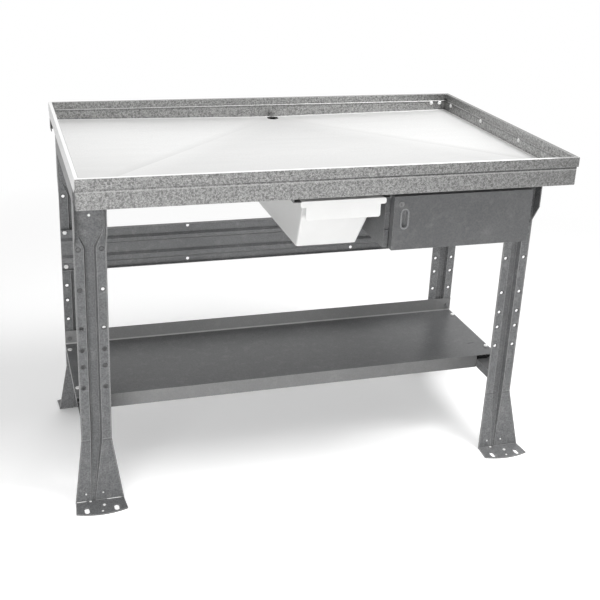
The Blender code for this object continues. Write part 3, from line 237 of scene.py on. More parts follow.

# Edges: bevel radius, and the dot products at full effect and at none. Paint edges show wear, sheet and
# plating edges wear and a painted highlight, groove and plastic edges a painted highlight
SHEET_EDGES = (0.0014, 0.86, 0.995)
ENAMEL_WEAR = (0.0014, 0.80, 0.99)
GROOVE_HIGHLIGHT_EDGES = (0.0030, 0.88, 0.995)
PLASTIC_EDGES = (0.002, 0.8, 0.99)
PLATE_EDGES = (0.0006, 0.8, 0.99)

# Painted shade in seams and inside corners: reach of the occlusion and how dark it gets
OCCLUSION_RANGE = (0.25, 0.85)
SHEET_CREVICE_SHADE = (0.010, 0.45)
PLASTIC_CREVICE_SHADE = (0.040, 0.72)
ENAMEL_SHADE_REACH = 0.012
SAMPLES = 6

# Soft edge of a mask, and the parts of a face's own normal that count as facing an axis
MASK_SOFT = 0.0003
FACING = (0.85, 0.95)
LEANING = (0.5, 0.7)
LEVEL = (0.990, 0.998)


def make_camera():
    forward = Vector((math.sin(CAMERA_YAW) * math.cos(CAMERA_PITCH),
                      math.cos(CAMERA_YAW) * math.cos(CAMERA_PITCH),
                      -math.sin(CAMERA_PITCH)))
    level = Vector((math.cos(CAMERA_YAW), -math.sin(CAMERA_YAW), 0))
    upright = level.cross(forward)
    right = math.cos(CAMERA_ROLL) * level + math.sin(CAMERA_ROLL) * upright
    up = -math.sin(CAMERA_ROLL) * level + math.cos(CAMERA_ROLL) * upright
    matrix = Matrix((right, up, -forward)).transposed().to_4x4()
    matrix.translation = Vector(CAMERA_PLACE)
    data = bpy.data.cameras.new("camera")
    data.sensor_width = SENSOR
    data.lens = FOCAL_PIXELS / FRAME_PIXELS * SENSOR
    data.shift_x = -(CENTRE_PIXEL[0] - FRAME_PIXELS / 2) / FRAME_PIXELS
    data.shift_y = (CENTRE_PIXEL[1] - FRAME_PIXELS / 2) / FRAME_PIXELS
    camera = bpy.data.objects.new("camera", data)
    camera.matrix_world = matrix
    bpy.context.scene.collection.objects.link(camera)
    bpy.context.scene.camera = camera


# Material helpers

class Tree:
    """Small helper to write a material's node tree."""

    def __init__(self, name):
        self.material = bpy.data.materials.new(name)
        self.material.use_nodes = True
        self.tree = self.material.node_tree
        self.shader = self.tree.nodes["Principled BSDF"]
        self.out = self.tree.nodes["Material Output"]

    def node(self, kind, **values):
        node = self.tree.nodes.new(kind)
        for key, value in values.items():
            setattr(node, key, value)
        return node

    def link(self, source, target):
        self.tree.links.new(source, target)

    def coords(self):
        return self.node("ShaderNodeTexCoord").outputs["Object"]

    def scaled(self, source, scale):
        node = self.node("ShaderNodeMapping")
        node.inputs["Scale"].default_value = scale
        self.link(source, node.inputs["Vector"])
        return node.outputs["Vector"]

    def noise(self, source, scale, detail, rough, distortion=0.0):
        node = self.node("ShaderNodeTexNoise")
        node.inputs["Scale"].default_value = scale
        node.inputs["Detail"].default_value = detail
        node.inputs["Roughness"].default_value = rough
        node.inputs["Distortion"].default_value = distortion
        self.link(source, node.inputs["Vector"])
        return node.outputs["Fac"]

    def span(self, source, low, high, to_low=0.0, to_high=1.0):
        """The source's range from low to high, moved to the range from to_low to to_high."""
        node = self.node("ShaderNodeMapRange")
        node.inputs["From Min"].default_value = low
        node.inputs["From Max"].default_value = high
        node.inputs["To Min"].default_value = to_low
        node.inputs["To Max"].default_value = to_high
        self.link(source, node.inputs["Value"])
        return node.outputs["Result"]

    def math(self, operation, a, b=None):
        node = self.node("ShaderNodeMath", operation=operation)
        for socket, value in zip(node.inputs, (a, b)):
            if value is None:
                continue
            if isinstance(value, (int, float)):
                socket.default_value = value
            else:
                self.link(value, socket)
        return node.outputs["Value"]

    def mix(self, factor, a, b, blend="MIX"):
        node = self.node("ShaderNodeMix", data_type="RGBA", blend_type=blend)
        for name, value in (("Factor", factor), ("A", a), ("B", b)):
            socket = [s for s in node.inputs if s.name == name and s.enabled][0]
            if isinstance(value, (int, float)):
                socket.default_value = value
            elif isinstance(value, tuple):
                socket.default_value = (*value, 1.0)
            else:
                self.link(value, socket)
        return [s for s in node.outputs if s.enabled][0]

    def times(self, tone, factor):
        return self.mix(1.0, tone, factor, "MULTIPLY")

    def inside(self, source, low, high):
        """1 where the value lies between low and high, 0 elsewhere."""
        return self.both(self.span(source, low - MASK_SOFT, low), self.span(source, high + MASK_SOFT, high))

    def both(self, *masks):
        result = masks[0]
        for mask in masks[1:]:
            result = self.math("MULTIPLY", result, mask)
        return result

    def size(self, source):
        return self.math("ABSOLUTE", source)

    def gap(self, a, b):
        return self.math("SUBTRACT", a, b)

    def most(self, a, b):
        return self.math("MAXIMUM", a, b)

    def parts(self, source):
        node = self.node("ShaderNodeSeparateXYZ")
        self.link(source, node.inputs[0])
        return node.outputs

    def faces(self, part, sign, limits=FACING):
        """1 where this part of the face's direction points along the sign."""
        low, high = limits
        return self.span(part, sign * low, sign * high)

    def bump(self, height, strength, distance, normal=None):
        node = self.node("ShaderNodeBump")
        node.inputs["Strength"].default_value = strength
        node.inputs["Distance"].default_value = distance
        self.link(height, node.inputs["Height"])
        if normal is not None:
            self.link(normal, node.inputs["Normal"])
        return node.outputs["Normal"]

    def set(self, **values):
        for name, value in values.items():
            socket = self.shader.inputs[name.replace("_", " ")]
            if isinstance(value, (int, float)):
                socket.default_value = value
            else:
                self.link(value, socket)


def facing(tree):
    """The three parts of the face's own direction."""
    return tree.parts(tree.node("ShaderNodeNewGeometry").outputs["True Normal"])


def convex_edge_mask(tree, radius, low, high):
    """0 on flats to 1 on convex edges, from a bevelled normal."""
    bevel = tree.node("ShaderNodeBevel", samples=SAMPLES)
    bevel.inputs["Radius"].default_value = radius
    geometry = tree.node("ShaderNodeNewGeometry")
    dot = tree.node("ShaderNodeVectorMath", operation="DOT_PRODUCT")
    tree.link(bevel.outputs["Normal"], dot.inputs[0])
    tree.link(geometry.outputs["Normal"], dot.inputs[1])
    return tree.span(dot.outputs["Value"], high, low)


def crevice_shade(tree, reach, dark):
    """Painted shade: 1 in the open down to the dark value in seams and inside corners."""
    occlusion = tree.node("ShaderNodeAmbientOcclusion", samples=SAMPLES)
    occlusion.inputs["Distance"].default_value = reach
    return tree.span(occlusion.outputs["AO"], *OCCLUSION_RANGE, dark, 1.0)


# Stainless sheet. A range reads: from, to, value at from, value at to

GRAIN_RANGE = (0.3, 0.7)
SPARK_RANGE = (0.42, 0.60, 0.0, 0.95)
PIT_RANGE = (0.46, 0.60, 0.0, 0.80)
CLOUD_RANGE = (0.42, 0.75, 0.0, 0.2)
SHEET_EDGE_SHARE = 0.6

LEFT_END = (0.0092 - TRAY_HALF_X, 0.0086 - TRAY_HALF_X)
RIM_LEVEL = (TRAY_TOP_Z - 0.001, TRAY_TOP_Z - 0.0005)
RIM_SHADE_SHARE = 0.75
FRONT_RIM = (-TRAY_WALL_Y + 0.001, -TRAY_WALL_Y - 0.001)
FRONT_RIM_FADE = (0.52, 0.56, 1.0, 0.2)
HEM_ABOVE = (0.8565, 0.8585)
HEM_FOOT = HEM_ABOVE[::-1]
HEM_SIDE = (0.0, -0.1)
LIT_SHARE = 0.9
LEDGE_LEVEL = (TRAY_LEDGE_Z - 0.001, TRAY_LEDGE_Z + 0.001)
LEDGE_FADE = (0.560, 0.550, 0.3, 1.0)
WALL_SIDE = (TRAY_WALL_X + 0.001, TRAY_WALL_X)
WALL_ENDS = (TRAY_WALL_Y + 0.001, TRAY_WALL_Y)
FOLD_LEVEL = (TRAY_LEDGE_Z - 0.0052, TRAY_LEDGE_Z - 0.0008)
FOLD_SHARE = 0.35
FRONT_SHEET = (-TRAY_WALL_Y, -TRAY_WALL_Y - 0.004)
FRONT_END_SHADE_RANGE = (0.1, 0.62, 0.0, 0.45)
SEAM_LEVEL = (SEAM_Z - 0.0034, SEAM_Z)
SEAM_SHADOW_RANGE = (-0.55, 0.10, 0.12, 0.65)
BELOW_SEAM = (SEAM_Z - 0.0072, SEAM_Z - 0.0045)
BELOW_SHARE = 0.35
APRON_REAR = (0.30, 0.31)
APRON_END = (-TRAY_WALL_X - 0.001, -TRAY_WALL_X - 0.002)
APRON_LEVEL = (TRAY_TOP_Z - 0.036, TRAY_TOP_Z - 0.0365)

BASIN_STIPPLE = (0.35, 0.65)
BASIN_SMEAR = (0.4, 0.75, 0.0, 0.3)
BASIN_MOTTLE = (0.45, 0.7, 0.0, 0.25)
FOLD_WIDTH = 0.0008
BASIN_FOLD_RANGE = (0.045, 0.0)
BASIN_FOLD_REACH = (0.0, 0.5, 0.45, 1.0)
BASIN_FOLD_SHARE = 0.45
GLINT_RANGE = (-0.10, 0.0)
GLINT_SHARE = 0.35
FACET_LIGHT_LEVELS = (0.97, 1.11)
BASIN_SHADE_ACROSS = (-0.60, 0.55, 0.99, 0.88)
BASIN_SHADE_ALONG = (-0.34, -0.05, 0.86, 1.0)
FRONT_LEFT_ACROSS = (-0.15, -0.45)
FRONT_LEFT_ALONG = (0.15, -0.25)
FRONT_LEFT_SHARE = 0.6
BASIN_LEVEL = (TRAY_LEDGE_Z - 0.001, TRAY_LEDGE_Z - 0.003)
BASIN_EDGE_X = (TRAY_WALL_X - 0.010, TRAY_WALL_X - 0.005)
BASIN_EDGE_Y = (TRAY_WALL_Y - 0.012, TRAY_WALL_Y - 0.006)

PALE_METAL_LOSS = 0.65
SHEET_ROUGH = (0.25, 0.8, 0.36, 0.48)
GRAIN_ROUGH = (0.3, 0.7, -0.04, 0.05)
GRAIN_BUMP = (0.25, 0.0002)
STIPPLE_BUMP = (0.22, 0.0004)


def plain_sheet(tree, grain, stipple, mottle, cloud):
    """Rolled grain with sparks, pits, clouds, and worn edges lightened with a painted highlight."""
    sheet = tree.mix(tree.span(grain, *GRAIN_RANGE), SHEET_DARK, SHEET_LIGHT)
    sheet = tree.mix(tree.span(stipple, *SPARK_RANGE), sheet, SHEET_SPARK)
    sheet = tree.mix(tree.span(mottle, *PIT_RANGE), sheet, SHEET_PIT)
    sheet = tree.mix(tree.span(cloud, *CLOUD_RANGE), sheet, SHEET_CLOUD)
    # Convex edges lighter: wear and a painted highlight.
    edge_mask = convex_edge_mask(tree, *SHEET_EDGES)
    return tree.mix(tree.both(edge_mask, SHEET_EDGE_SHARE), sheet, SHEET_WEAR_AND_HIGHLIGHT)


def sheet_marks(tree, sheet, at, face):
    """The sheet with painted light and shade: darker rim tops, painted light on the left end and the front
    rim, painted shade below the left hem and below the ledge, a painted highlight on the ledge, the front
    darker towards its right end, a painted shadow under the nose with a painted highlight below it, painted
    shade on the rear apron's left end; and a mask of the painted light.
    """
    x, y, z = at
    upward = tree.faces(face[2], 1)
    leftward = tree.faces(face[0], -1)
    forward = tree.faces(face[1], -1)
    left_end = tree.span(x, *LEFT_END)
    # Rim tops darker: painted shade.
    rim = tree.both(upward, tree.span(z, *RIM_LEVEL))
    sheet = tree.mix(tree.both(rim, RIM_SHADE_SHARE), sheet, RIM_SHADE_GREY)
    # Painted light on the rim tops of the left end and the front, and on the left end's outer side above the
    # hem.
    front_rim = tree.both(tree.span(y, *FRONT_RIM), tree.span(x, *FRONT_RIM_FADE))
    lit_faces = tree.both(rim, tree.most(left_end, front_rim))
    lit_faces = tree.most(lit_faces, tree.both(leftward, left_end, tree.span(z, *HEM_ABOVE)))
    sheet = tree.mix(tree.both(lit_faces, LIT_SHARE), sheet, SHEET_LIT)
    # Painted shade on the left side below the hem.
    hem_shade = tree.both(leftward, tree.span(x, *HEM_SIDE), tree.span(z, *HEM_FOOT))
    sheet = tree.mix(hem_shade, sheet, HEM_SHADE_GREY)
    # Painted highlight along the ledge, weaker at the right end.
    ledge = tree.both(upward, tree.inside(z, *LEDGE_LEVEL), tree.span(x, *LEDGE_FADE))
    sheet = tree.mix(ledge, sheet, SHEET_GLEAM)
    # Painted shade on the walls just below the ledge.
    basin_side = tree.both(tree.span(tree.size(x), *WALL_SIDE), tree.span(tree.size(y), *WALL_ENDS))
    fold_shade = tree.both(basin_side, tree.inside(z, *FOLD_LEVEL))
    sheet = tree.mix(tree.both(fold_shade, FOLD_SHARE), sheet, FOLD_SHADE_GREY)
    # Front faces darker towards the right end: painted shade.
    front = tree.both(forward, tree.span(y, *FRONT_SHEET))
    sheet = tree.mix(tree.both(front, tree.span(x, *FRONT_END_SHADE_RANGE)), sheet, FRONT_END_SHADE)
    # Painted shadow of the nose on the apron below it, darker towards the right.
    seam_shadow = tree.both(front, tree.inside(z, *SEAM_LEVEL), tree.span(x, *SEAM_SHADOW_RANGE))
    sheet = tree.mix(seam_shadow, sheet, SEAM_SHADOW_GREY)
    # Painted highlight on the apron just below that shadow.
    below = tree.both(front, tree.inside(z, *BELOW_SEAM))
    sheet = tree.mix(tree.both(below, BELOW_SHARE), sheet, SHEET_WEAR_AND_HIGHLIGHT)
    # Painted shade on the front face of the rear apron's left end.
    apron_end_shade = tree.both(tree.span(y, *APRON_REAR), tree.span(x, *APRON_END), tree.span(z, *APRON_LEVEL))
    sheet = tree.mix(tree.both(apron_end_shade, forward), sheet, APRON_END_SHADE_GREY)
    return sheet, tree.most(lit_faces, ledge)


def basin_tone(tree, at, stipple, smear, mottle):
    """Tray floor: side facets fall to the front facet along two folds, with painted light and shade on the
    facets, along the folds and at the foot of the walls.
    """
    x, y, _ = at
    left = tree.both(tree.gap(DRAIN.x, x), LEFT_FOLD_SLOPE)
    right = tree.both(tree.gap(x, DRAIN.x), RIGHT_FOLD_SLOPE)
    across = tree.most(left, right)
    past = tree.gap(across, tree.size(tree.gap(y, DRAIN.y)))
    side = tree.span(past, -FOLD_WIDTH, FOLD_WIDTH)
    basin = tree.mix(tree.span(stipple, *BASIN_STIPPLE), BASIN_DARK, BASIN_LIGHT)
    basin = tree.mix(tree.span(smear, *BASIN_SMEAR), basin, SHEET_SPARK)
    basin = tree.mix(tree.span(mottle, *BASIN_MOTTLE), basin, BASIN_PIT)
    # Painted shade on the side facets just past each fold.
    basin_fold_shade = tree.both(side, tree.span(past, *BASIN_FOLD_RANGE), tree.span(across, *BASIN_FOLD_REACH))
    basin = tree.mix(tree.both(basin_fold_shade, BASIN_FOLD_SHARE), basin, BASIN_FOLD_SHADE)
    # Painted highlight on the front facet along each fold.
    glint = tree.both(tree.span(past, *GLINT_RANGE), tree.span(past, FOLD_WIDTH, -FOLD_WIDTH))
    basin = tree.mix(tree.both(glint, GLINT_SHARE), basin, BASIN_GLINT)
    # Painted light and shade: side facets lighter than the front facet, the floor darker towards the right
    # and towards the front.
    facet_light = tree.span(past, -FOLD_WIDTH, FOLD_WIDTH, *FACET_LIGHT_LEVELS)
    basin = tree.times(basin, tree.both(facet_light, tree.span(x, *BASIN_SHADE_ACROSS), tree.span(y, *BASIN_SHADE_ALONG)))
    # Painted shade on the left facet towards its front.
    front_left = tree.both(side, tree.span(x, *FRONT_LEFT_ACROSS), tree.span(y, *FRONT_LEFT_ALONG))
    basin = tree.mix(tree.both(front_left, FRONT_LEFT_SHARE), basin, BASIN_FRONT_LEFT_SHADE)
    # Painted highlight on the floor along the foot of the walls.
    edge_highlight = tree.most(tree.span(tree.size(x), *BASIN_EDGE_X), tree.span(tree.size(y), *BASIN_EDGE_Y))
    return tree.mix(edge_highlight, basin, SHEET_GLEAM)


def stainless_material():
    tree = Tree("brushed_stainless_sheet")
    place = tree.coords()
    at = tree.parts(place)
    face = facing(tree)
    grain = tree.noise(tree.scaled(place, LONG_STRETCH), *LONG_GRAIN)
    short = tree.noise(tree.scaled(place, SHORT_STRETCH), *SHORT_GRAIN)
    stipple = tree.noise(place, *STIPPLE)
    mottle = tree.noise(place, *MOTTLE)
    cloud = tree.noise(place, *SHEET_CLOUDS)
    smear = tree.noise(tree.scaled(place, SMEAR_STRETCH), *SMEAR)

    sheet = plain_sheet(tree, grain, stipple, mottle, cloud)
    sheet, lit_marks = sheet_marks(tree, sheet, at, face)
    basin = basin_tone(tree, at, stipple, smear, mottle)
    floor = tree.both(tree.faces(face[2], 1, LEVEL), tree.span(at[2], *BASIN_LEVEL))
    tone = tree.mix(floor, sheet, basin)
    # Painted shade in seams and inside corners, left off the tray's floor.
    tone = tree.times(tone, tree.most(crevice_shade(tree, *SHEET_CREVICE_SHADE), floor))
    pale = tree.most(floor, lit_marks)
    metallic = tree.gap(1.0, tree.both(pale, PALE_METAL_LOSS))

    rough = tree.math("ADD", tree.span(smear, *SHEET_ROUGH), tree.span(short, *GRAIN_ROUGH))
    normal = tree.bump(short, *GRAIN_BUMP)
    normal = tree.bump(stipple, *STIPPLE_BUMP, normal)
    tree.set(Base_Color=tone, Metallic=metallic, Roughness=rough, Normal=normal)
    return tree.material


# Paint

ENAMEL_CLOUD_RANGE = (0.3, 0.75)
SPECK_RANGE = (0.40, 0.62)
DUST_RANGE = (0.52, 0.75, 0.0, 0.42)
CHIP_RANGE = (0.42, 0.56)
ENAMEL_ROUGH = (0.25, 0.8, 0.26, 0.40)
DUST_ROUGH = (0.5, 0.85, 0.0, 0.16)
PEEL_BUMP = (0.25, 0.0005)
ENAMEL_SPECULAR = 0.3

GROOVE_HIGHLIGHT_SHARE = 0.70
PATCH_RANGE = (0.4, 0.6, 0.1, 0.35)
FLARE_BEND = (FLARE_START - 0.0002, FLARE_START + 0.0022)
FLARE_BELOW = (FLARE_START - 0.004, FLARE_START - 0.0008)
FLARE_BELOW_SHARE = 0.45
HOLE_RIM_SHARE = 0.75

UPSTAND_SIDE = (0.0, 0.05)
UPSTAND_SHARE = 0.38
FASCIA_SIDE = (0.0, -0.05)
FASCIA_SHARE = 0.35
UPSTAND_FOLD = (SHELF_TOP + 0.0045, SHELF_TOP + 0.0040)
UPSTAND_FOLD_SHARE = 0.7
SHELF_RIGHT_SHADE = (0.10, 0.50, 1.0, 0.70)
RAIL_SHADE_SHARE = 0.8


def enamel_material(name="grey_enamel", light_level=1.0, mottle=0.55, seam_shade=0.60, own=None):
    """Grey paint, scaled to a lit or shaded copy as painted light and shade, with painted shade in its
    seams; own adds one piece's marks.
    """
    tree = Tree(name)
    place = tree.coords()
    peel = tree.noise(place, *PEEL)
    cloud = tree.noise(place, *ENAMEL_CLOUDS)
    dust = tree.noise(place, *DUST)
    speck = tree.noise(place, *SPECK)
    tone = tree.mix(tree.span(cloud, *ENAMEL_CLOUD_RANGE), ENAMEL_DARK, ENAMEL_LIGHT)
    tone = tree.mix(tree.span(speck, *SPECK_RANGE, 0.0, mottle), tone, ENAMEL_SPECK)
    tone = tree.mix(tree.span(dust, *DUST_RANGE), tone, ENAMEL_DUST)
    edge_mask = convex_edge_mask(tree, *ENAMEL_WEAR)
    chips = tree.span(tree.noise(place, *CHIPS), *CHIP_RANGE)
    tone = tree.mix(tree.both(edge_mask, chips), tone, ENAMEL_CHIP)
    # Lit or shaded copy of the paint: painted light and shade.
    tone = tree.times(tone, (light_level, light_level, light_level))
    if own:
        tone = own(tree, tone)
    # Painted shade in seams and inside corners.
    tone = tree.times(tone, crevice_shade(tree, ENAMEL_SHADE_REACH, seam_shade))
    rough = tree.math("ADD", tree.span(cloud, *ENAMEL_ROUGH), tree.span(dust, *DUST_ROUGH))
    normal = tree.bump(peel, *PEEL_BUMP)
    tree.set(Base_Color=tone, Metallic=0.0, Roughness=rough, Normal=normal,
             Specular_IOR_Level=ENAMEL_SPECULAR)
    return tree.material


def leg_marks(tree, tone):
    """Painted highlights on the groove edges, a painted highlight where the foot starts to flare with
    painted shade below it, painted shade round the holes.
    """
    # Painted highlights on the groove edges.
    tone = tree.mix(tree.both(convex_edge_mask(tree, *GROOVE_HIGHLIGHT_EDGES), GROOVE_HIGHLIGHT_SHARE), tone, GROOVE_HIGHLIGHT)
    place = tree.coords()
    x, _, z = tree.parts(place)
    from_middle = tree.size(tree.gap(tree.size(x), LEG_X))
    flats = tree.span(from_middle, *LEG_FLAT)
    # Painted highlight along the bend where the foot starts to flare, in patches, with painted shade just
    # below it.
    patchy = tree.span(tree.noise(place, *PATCHES), *PATCH_RANGE)
    tone = tree.mix(tree.both(flats, tree.inside(z, *FLARE_BEND), patchy), tone, PAINT_LIT)
    below = tree.both(flats, tree.inside(z, *FLARE_BELOW), FLARE_BELOW_SHARE)
    tone = tree.mix(below, tone, BEND_SHADE)
    # Painted shade round the holes.
    aside = tree.gap(from_middle, LEG_HOLE_X)
    rise = tree.size(tree.gap(z, LEG_HOLE_ROWS[0]))
    for row in LEG_HOLE_ROWS[1:]:
        rise = tree.math("MINIMUM", rise, tree.size(tree.gap(z, row)))
    reach = tree.math("SQRT", tree.math("ADD", tree.both(aside, aside), tree.both(rise, rise)))
    return tree.mix(tree.both(tree.span(reach, *HOLE_RIM), HOLE_RIM_SHARE), tone, HOLE_SHADE)


def shelf_marks(tree, tone):
    """Painted light on the rear upstand with a painted highlight on its fold, painted light on the front
    fascia, and painted shade on the right end.
    """
    x, y, z = tree.parts(tree.coords())
    forward = tree.faces(facing(tree)[1], -1)
    upright = tree.both(forward, tree.span(y, *UPSTAND_SIDE))
    tone = tree.mix(tree.both(upright, UPSTAND_SHARE), tone, PAINT_LIT)
    fascia = tree.both(forward, tree.span(y, *FASCIA_SIDE))
    tone = tree.mix(tree.both(fascia, FASCIA_SHARE), tone, PAINT_LIT)
    fold = tree.both(upright, tree.span(z, *UPSTAND_FOLD))
    tone = tree.mix(tree.both(fold, UPSTAND_FOLD_SHARE), tone, PAINT_HIGHLIGHT)
    return tree.times(tone, tree.span(x, *SHELF_RIGHT_SHADE))


def rail_marks(tree, tone):
    """Painted shade on the top of the rails beside the shelf."""
    upward = tree.faces(facing(tree)[2], 1)
    return tree.mix(tree.both(upward, RAIL_SHADE_SHARE), tone, RAIL_SHADE)


# Plastic

PLASTIC_CLOUD_RANGE = (0.3, 0.8)
SCUFF_RANGE = (0.62, 0.8, 0.0, 0.3)
PLASTIC_HIGHLIGHT_SHARE = 0.4
BEHIND_Y = (-0.350, -0.300)
BEHIND_Z = (0.750, 0.762)
BEHIND_X = (-0.058, -0.064)
BEHIND_SHARE = 0.5
PLASTIC_SIDE_SHARE = 0.25
PLASTIC_ROUGH = (0.3, 0.8, 0.38, 0.52)
PLASTIC_BUMP = (0.15, 0.0003)


def plastic_material():
    """White moulding with painted highlights on its edges, and painted shade in its seams, on its left side
    and behind the pan's hanging front.
    """
    tree = Tree("white_moulded_plastic")
    place = tree.coords()
    grain = tree.noise(place, *PLASTIC_GRAIN)
    cloud = tree.noise(place, *PLASTIC_CLOUDS)
    scuff = tree.noise(tree.scaled(place, SCUFF_STRETCH), *SCUFFS)
    tone = tree.mix(tree.span(cloud, *PLASTIC_CLOUD_RANGE), PLASTIC_LIGHT, PLASTIC_DARK)
    tone = tree.mix(tree.span(scuff, *SCUFF_RANGE), tone, PLASTIC_SCUFF)
    # Painted highlight on the edges.
    edge_mask = convex_edge_mask(tree, *PLASTIC_EDGES)
    tone = tree.mix(tree.both(edge_mask, PLASTIC_HIGHLIGHT_SHARE), tone, PLASTIC_HIGHLIGHT)
    # Painted shade in seams and under the rim.
    tone = tree.times(tone, crevice_shade(tree, *PLASTIC_CREVICE_SHADE))
    x, y, z = tree.parts(place)
    face = facing(tree)
    # Painted shade behind the pan's hanging front.
    behind = tree.both(tree.faces(face[1], -1, LEANING), tree.inside(y, *BEHIND_Y),
                       tree.span(z, *BEHIND_Z), tree.span(x, *BEHIND_X))
    tone = tree.mix(tree.both(behind, BEHIND_SHARE), tone, PLASTIC_BEHIND_SHADE)
    # Painted shade on the left side.
    leftward = tree.faces(face[0], -1, LEANING)
    tone = tree.mix(tree.both(leftward, PLASTIC_SIDE_SHARE), tone, PLASTIC_SIDE_SHADE)
    rough = tree.span(scuff, *PLASTIC_ROUGH)
    normal = tree.bump(grain, *PLASTIC_BUMP)
    tree.set(Base_Color=tone, Roughness=rough, Normal=normal)
    return tree.material


# Plated and rolled steel

BLOOM_RANGE = (0.3, 0.75)
PLATE_SPECK_RANGE = (0.55, 0.75, 0.0, 0.4)
PLATE_SPECK_SHADE = 0.7
PLATE_EDGE_SHARE = 0.5
PLATE_HIGHLIGHT_GAIN = 1.25
PLATE_ROUGH_RANGE = (0.25, 0.8)
PLATE_BUMP = (0.2, 0.0002)


def plated_material(name, dark, light, rough, stretch=PLATE_STRETCH, metallic=1.0):
    """Metal between two tones and two roughnesses, its edges worn and lightened with a painted highlight."""
    tree = Tree(name)
    place = tree.coords()
    grain = tree.noise(tree.scaled(place, stretch), *PLATE_GRAIN)
    bloom = tree.noise(place, *PLATE_BLOOM)
    speck = tree.noise(place, *PLATE_SPECK)
    tone = tree.mix(tree.span(bloom, *BLOOM_RANGE), dark, light)
    pit = tuple(PLATE_SPECK_SHADE * c for c in dark)
    tone = tree.mix(tree.span(speck, *PLATE_SPECK_RANGE), tone, pit)
    # Edges lighter: wear and a painted highlight.
    edge_mask = convex_edge_mask(tree, *PLATE_EDGES)
    gleam = tuple(min(1.0, PLATE_HIGHLIGHT_GAIN * c) for c in light)
    tone = tree.mix(tree.both(edge_mask, PLATE_EDGE_SHARE), tone, gleam)
    roughness = tree.span(bloom, *PLATE_ROUGH_RANGE, *rough)
    normal = tree.bump(grain, *PLATE_BUMP)
    tree.set(Base_Color=tone, Metallic=metallic, Roughness=roughness, Normal=normal)
    return tree.material


MATERIALS = {
    "brushed_stainless": stainless_material(),
    "grey_paint": enamel_material(),
    "white_plastic": plastic_material(),
    "zinc_steel": plated_material(
        "zinc_plate", (0.50, 0.51, 0.52), (0.66, 0.665, 0.67), (0.26, 0.42)),
    "slide_steel": plated_material(
        "rolled_steel", (0.40, 0.41, 0.42), (0.52, 0.525, 0.53), (0.24, 0.38), ROLLED_STRETCH),
    "satin_chrome": plated_material(
        "satin_chrome_plate", (0.22, 0.22, 0.22), (0.32, 0.32, 0.32), (0.28, 0.40), CHROME_STRETCH),
}

# Some pieces get lit or shaded copies of the paint and plating, darker or lighter than the rest: painted
# light and shade
LEG_PAINT = enamel_material("grey_enamel_legs", light_level=1.05, mottle=0.85, own=leg_marks)
RAIL_PAINT = enamel_material("grey_enamel_rails", own=rail_marks)
BOLT_PAINT = enamel_material("grey_enamel_bolts", light_level=0.95)
# A lit, paler copy of the zinc plating: painted light on these bolt heads, the tray's screws and the feet's
# rivets and left bend seams.
LIT_ZINC = plated_material(
    "lit_zinc_plate", (0.86, 0.86, 0.85), (0.95, 0.95, 0.94), (0.3, 0.45), metallic=0.25)
LIT_BOLTS = ("top_front", "top_rear", "stringer_upper", "stringer_lower", "shelf_rear", "shelf_front")
OWN_LOOKS = {
    "drawer_front": enamel_material("grey_enamel_drawer", light_level=0.80, mottle=0.40, seam_shade=0.90),
    "drawer_housing": enamel_material("grey_enamel_housing", light_level=0.95, seam_shade=0.95),
    "drawer_pull": enamel_material("grey_enamel_pull", light_level=1.45, mottle=0.40, seam_shade=1.0),
    "lower_shelf": enamel_material(
        "grey_enamel_shelf", light_level=0.92, mottle=0.45, seam_shade=0.85, own=shelf_marks),
    "rear_stringer": enamel_material("grey_enamel_stringer", light_level=1.12),
    # Near-black plating in the drain: painted shade in the hole.
    "drain_spout": plated_material(
        "drain_shade_plate", (0.03, 0.03, 0.03), (0.06, 0.06, 0.058), (0.5, 0.7)),
}
for label in SIDES:
    OWN_LOOKS[f"lower_rail_{label}"] = RAIL_PAINT
    OWN_LOOKS[f"bolt_upstand_{label}"] = BOLT_PAINT
    OWN_LOOKS.update({f"{end}_leg_{label}": LEG_PAINT for end, _ in ENDS})
    OWN_LOOKS.update({f"bolt_{seat}_{label}": LIT_ZINC for seat in LIT_BOLTS})


def edge_width(name):
    """Rounding of a node's edges: pressings are softer than hardware."""
    for part, width in EDGE_WIDTHS:
        if part in name and not name.startswith(("bolt", "pan_rail")):
            return width
    return HARDWARE_EDGE


def flat_faces():
    """Node group that shades every face flat, so the tray's shallow folds stay crisp."""
    group = bpy.data.node_groups.new("flat_faces", "GeometryNodeTree")
    group.interface.new_socket("Geometry", in_out="INPUT", socket_type="NodeSocketGeometry")
    group.interface.new_socket("Geometry", in_out="OUTPUT", socket_type="NodeSocketGeometry")
    start = group.nodes.new("NodeGroupInput")
    plain = group.nodes.new("GeometryNodeSetShadeSmooth")
    plain.inputs["Shade Smooth"].default_value = False
    end = group.nodes.new("NodeGroupOutput")
    group.links.new(start.outputs[0], plain.inputs["Geometry"])
    group.links.new(plain.outputs[0], end.inputs[0])
    return group


def dress_nodes():
    """Give every CAD node its material and softened edges."""
    for name, obj in NODES.items():
        obj.data.materials.clear()
        obj.data.materials.append(OWN_LOOKS.get(name, MATERIALS[SLOT_OF[name]]))
        weld = obj.modifiers.new("weld", "WELD")
        weld.merge_threshold = WELD_REACH
        flat = obj.modifiers.new("flat", "DECIMATE")
        flat.decimate_type = "DISSOLVE"
        flat.angle_limit = math.radians(FLAT_ANGLE)
        soft = obj.modifiers.new("edges", "BEVEL")
        soft.width = edge_width(name)
        soft.segments = BEVEL_SEGMENTS
        soft.limit_method = "ANGLE"
        soft.angle_limit = math.radians(BEVEL_ANGLE)
        soft.harden_normals = False
        if name == "tray_top":
            crisp = obj.modifiers.new("crisp", "NODES")
            crisp.node_group = flat_faces()
            continue
        normals = obj.modifiers.new("normals", "WEIGHTED_NORMAL")
        normals.keep_sharp = False
        normals.weight = NORMAL_WEIGHT


# Small hardware that rides on the bench and the drawer

